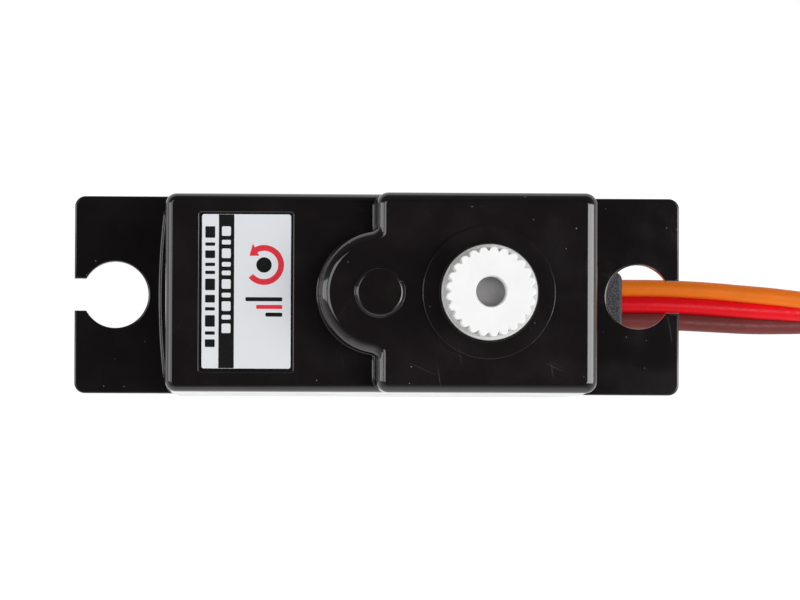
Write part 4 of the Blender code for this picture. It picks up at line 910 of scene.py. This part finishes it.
def make_lead(materials):
    """The flat cable: three wires side by side, flat at the case, turned on edge in the coil, flat again."""
    inside_relief = (LEAD_ROUTE[0][0] - 1.4, *LEAD_ROUTE[0][1:])
    line, along = smooth_route([inside_relief, *LEAD_ROUTE, *coil_turns(), *TAIL_ROUTE], 0.7)
    from_end = along - along[-1]
    on_edge = ease(along, 3.0, 26.0) - ease(from_end, -17.0, -2.0)
    line[:, 2] -= 0.5 * ease(from_end, -16.0, -2.0)
    ahead = np.gradient(line, axis=0)
    ahead /= np.linalg.norm(ahead, axis=1)[:, None]
    level = np.stack([-ahead[:, 1], ahead[:, 0], 0 * ahead[:, 0]], axis=1)
    level /= np.linalg.norm(level, axis=1)[:, None]
    upright = np.cross(ahead, level)
    roll = (on_edge * math.pi / 2)[:, None]
    side = np.cos(roll) * level + np.sin(roll) * upright
    up = np.cross(ahead, side)
    wires = []
    for index, offset in enumerate((-1, 0, 1)):
        wires.append(tube(line + offset * WIRE_PITCH * side, side, up, WIRE_RADIUS, index))
    colors = [materials[name] for name in ("wire_brown", "wire_red", "wire_orange")]
    solids = ["lead_cable", "lead_coil", "lead_tail"]
    return add_piece("lead_wires", together(*wires), colors, "case", solids), line * MM


def make_tie(materials):
    """A flat strap round the coil's turns, with the small head that holds its end."""
    inner, outer, half = COIL_RADII[0] - 0.1, COIL_RADII[1] + 0.1, TIE_WIDTH / 2
    low, high, thick = 0.3, COIL_HIGH + 0.1, 0.3
    outline = rounded_rectangle((inner - thick, outer + thick), (low - thick + 0.02, high + thick), 0.7, 8)
    strap = stack(outline, [(0.05, -half), (0.0, 0.05 - half), (0.0, half - 0.05), (0.05, half)])
    strap = cut(strap, prism(rounded_rectangle((inner, outer), (low, high), 0.4, 8), -TIE_WIDTH, TIE_WIDTH))
    head_edges = [*lower_rim(-half - 0.45, 0.25, 3), *rim(half + 0.45, 0.25, 3)]
    head = placed(stack(centred_rectangle(2.0, 1.9, 0.3, 4), head_edges), (inner - 0.85, 1.9, 0.0))
    across, along = (outer + 0.2, outer + thick + 0.06), (-0.8, 0.8)
    teeth = [block(across, (y, y + 0.14), along) for y in np.arange(1.1, 3.4, 0.3)]
    strap = join(strap, head, together(*teeth))
    bmesh.ops.transform(strap, matrix=Matrix.Rotation(math.radians(90.0), 4, "X"), verts=strap.verts)
    strap = placed(strap, (*COIL_CENTRE, 0.0), TIE_ANGLE)
    return add_piece("coil_strap", strap, [materials["tie"]], "case", ["lead_tie"])


def make_connector(materials):
    """The three-way housing: windows over the contacts' catches, grip notches and flared square mouths."""
    end, before = Vector(TAIL_ROUTE[-1]), Vector(TAIL_ROUTE[-2])
    heading = math.degrees(math.atan2(end.y - before.y, end.x - before.x))
    back, front, half, middle = 0.1, 0.1 + CONNECTOR_LENGTH, CONNECTOR_WIDTH / 2, CONNECTOR_HEIGHT / 2
    shell = stack(
        rounded_rectangle((back, front), (-half, half), 0.3, 6),
        [*lower_rim(0.02, 0.2, 4), *rim(CONNECTOR_HEIGHT, 0.2, 4)],
    )
    flared = [(0.0, front - 2.0), (0.0, front - 0.25), (-0.25, front + 0.01), (-0.25, front + PAST)]
    cavities, windows, grips = [], [], []
    for y in (-CONTACT_PITCH, 0.0, CONTACT_PITCH):
        cavity = block((back - PAST, front - 0.9), (y - 0.9, y + 0.9), (middle - 0.8, middle + 0.8))
        (x0, x1), (y0, y1) = (y - 0.45, y + 0.45), (middle - 0.45, middle + 0.45)
        mouth = stack([(x0, y0), (x1, y0), (x1, y1), (x0, y1)], flared)
        bmesh.ops.transform(mouth, matrix=Z_TO_X, verts=mouth.verts)
        cavities.append(join(cavity, mouth))
        z_range = (middle + 0.3, CONNECTOR_HEIGHT + PAST)
        windows.append(block((back + 4.6, back + 7.6), (y - 0.62, y + 0.62), z_range))
    for x in (1.6, 2.4, 3.2):
        for y in (-half, half):
            grips.append(block((x, x + 0.35), (y - 0.15, y + 0.15), (-PAST, CONNECTOR_HEIGHT + PAST)))
    shell = cut(shell, together(*cavities), together(*windows), together(*grips))
    shell = placed(shell, (end.x, end.y, 0.0), heading)
    solids = ["connector_housing"]
    return add_piece("servo_connector", shell, [materials["connector"]], "case", solids)


# ---------------------------------------------------------------- stage


def make_camera():
    """A long lens high over the case, looking almost straight down."""
    data = bpy.data.cameras.new("camera")
    data.lens, data.sensor_width = 227.0, 36.0
    data.clip_start, data.clip_end = 0.01, 10.0
    camera = bpy.data.objects.new("camera", data)
    camera.location = (-0.0077, -0.0085, 0.355)
    camera.rotation_euler = [math.radians(a) for a in (1.40, -1.58, 0.23)]
    bpy.context.scene.collection.objects.link(camera)
    bpy.context.scene.camera = camera


def softbox(name, polar, azimuth, distance, size, power):
    """An area light facing the case, at an angle from straight up and a compass angle from +X."""
    data = bpy.data.lights.new(name, "AREA")
    data.shape = "RECTANGLE"
    data.size, data.size_y = size
    data.energy = power
    light = bpy.data.objects.new(name, data)
    tilt, turn = math.radians(polar), math.radians(azimuth)
    target = Vector((0.0, 0.0, 0.02))
    aim = Vector((math.sin(tilt) * math.cos(turn), math.sin(tilt) * math.sin(turn), math.cos(tilt)))
    light.location = target + aim * distance
    light.rotation_euler = aim.to_track_quat("Z", "Y").to_euler()
    bpy.context.scene.collection.objects.link(light)


def make_world():
    """A pale room, brightest near the horizon and on the near side, and dark overhead."""
    world = bpy.data.worlds.new("room")
    world.use_nodes = True
    tree = world.node_tree
    direction = add_node(tree, "ShaderNodeTexCoord").outputs["Generated"]
    background = tree.nodes["Background"].inputs
    background["Color"].default_value = WHITE
    parts = add_node(tree, "ShaderNodeSeparateXYZ", {0: direction}).outputs
    near_horizon = remap(tree, parts["Z"], 0.0, 0.6, 0.9, 0.5)
    overhead = remap(tree, parts["Z"], 0.55, 0.96, 0.0, 0.48)
    open_side = remap(tree, parts["Y"], -0.1, 0.5, 1.0, 0.15)
    sky = arithmetic(tree, "SUBTRACT", near_horizon, overhead)
    tree.links.new(times(tree, sky, open_side), background["Strength"])
    bpy.context.scene.world = world


def make_floor():
    """A white sheet lit from below and above, as on a light table."""
    bm = bmesh.new()
    bmesh.ops.create_grid(bm, x_segments=1, y_segments=1, size=3.0)
    mesh = bpy.data.meshes.new("floor")
    bm.to_mesh(mesh)
    bm.free()
    material, _, shader = new_material("floor_white", 0.7)
    shader.inputs["Base Color"].default_value = (0.1, 0.1, 0.1, 1.0)
    shader.inputs["Emission Color"].default_value = WHITE
    shader.inputs["Emission Strength"].default_value = 0.98
    mesh.materials.append(material)
    floor = bpy.data.objects.new("floor", mesh)
    floor.location.z = -0.02 * MM
    bpy.context.scene.collection.objects.link(floor)


def finish_mechanism(materials):
    """The CAD nodes that are kept, each in its slot's material."""
    slots = {part["node"]: part["material_slot"] for part in frame["record"]["subparts"]}
    for name, node in frame["nodes"].items():
        if not node.hide_render:
            node.data.materials.clear()
            node.data.materials.append(materials[slots[name]])


def main():
    make_camera()
    materials = make_materials()
    lead, line = make_lead(materials)
    strap, connector = make_tie(materials), make_connector(materials)
    make_top_cover(materials)
    make_middle_case(materials)
    make_bottom_cover(materials)
    make_screws(materials)
    make_label(materials)
    make_output_gear(materials)
    make_strain_relief(materials)
    finish_mechanism(materials)
    make_world()
    make_floor()
    for name, polar, azimuth, distance, size, power in SOFTBOXES:
        softbox(name, polar, azimuth, distance, size, power)
    bpy.context.scene.view_settings.view_transform = "Standard"


main()
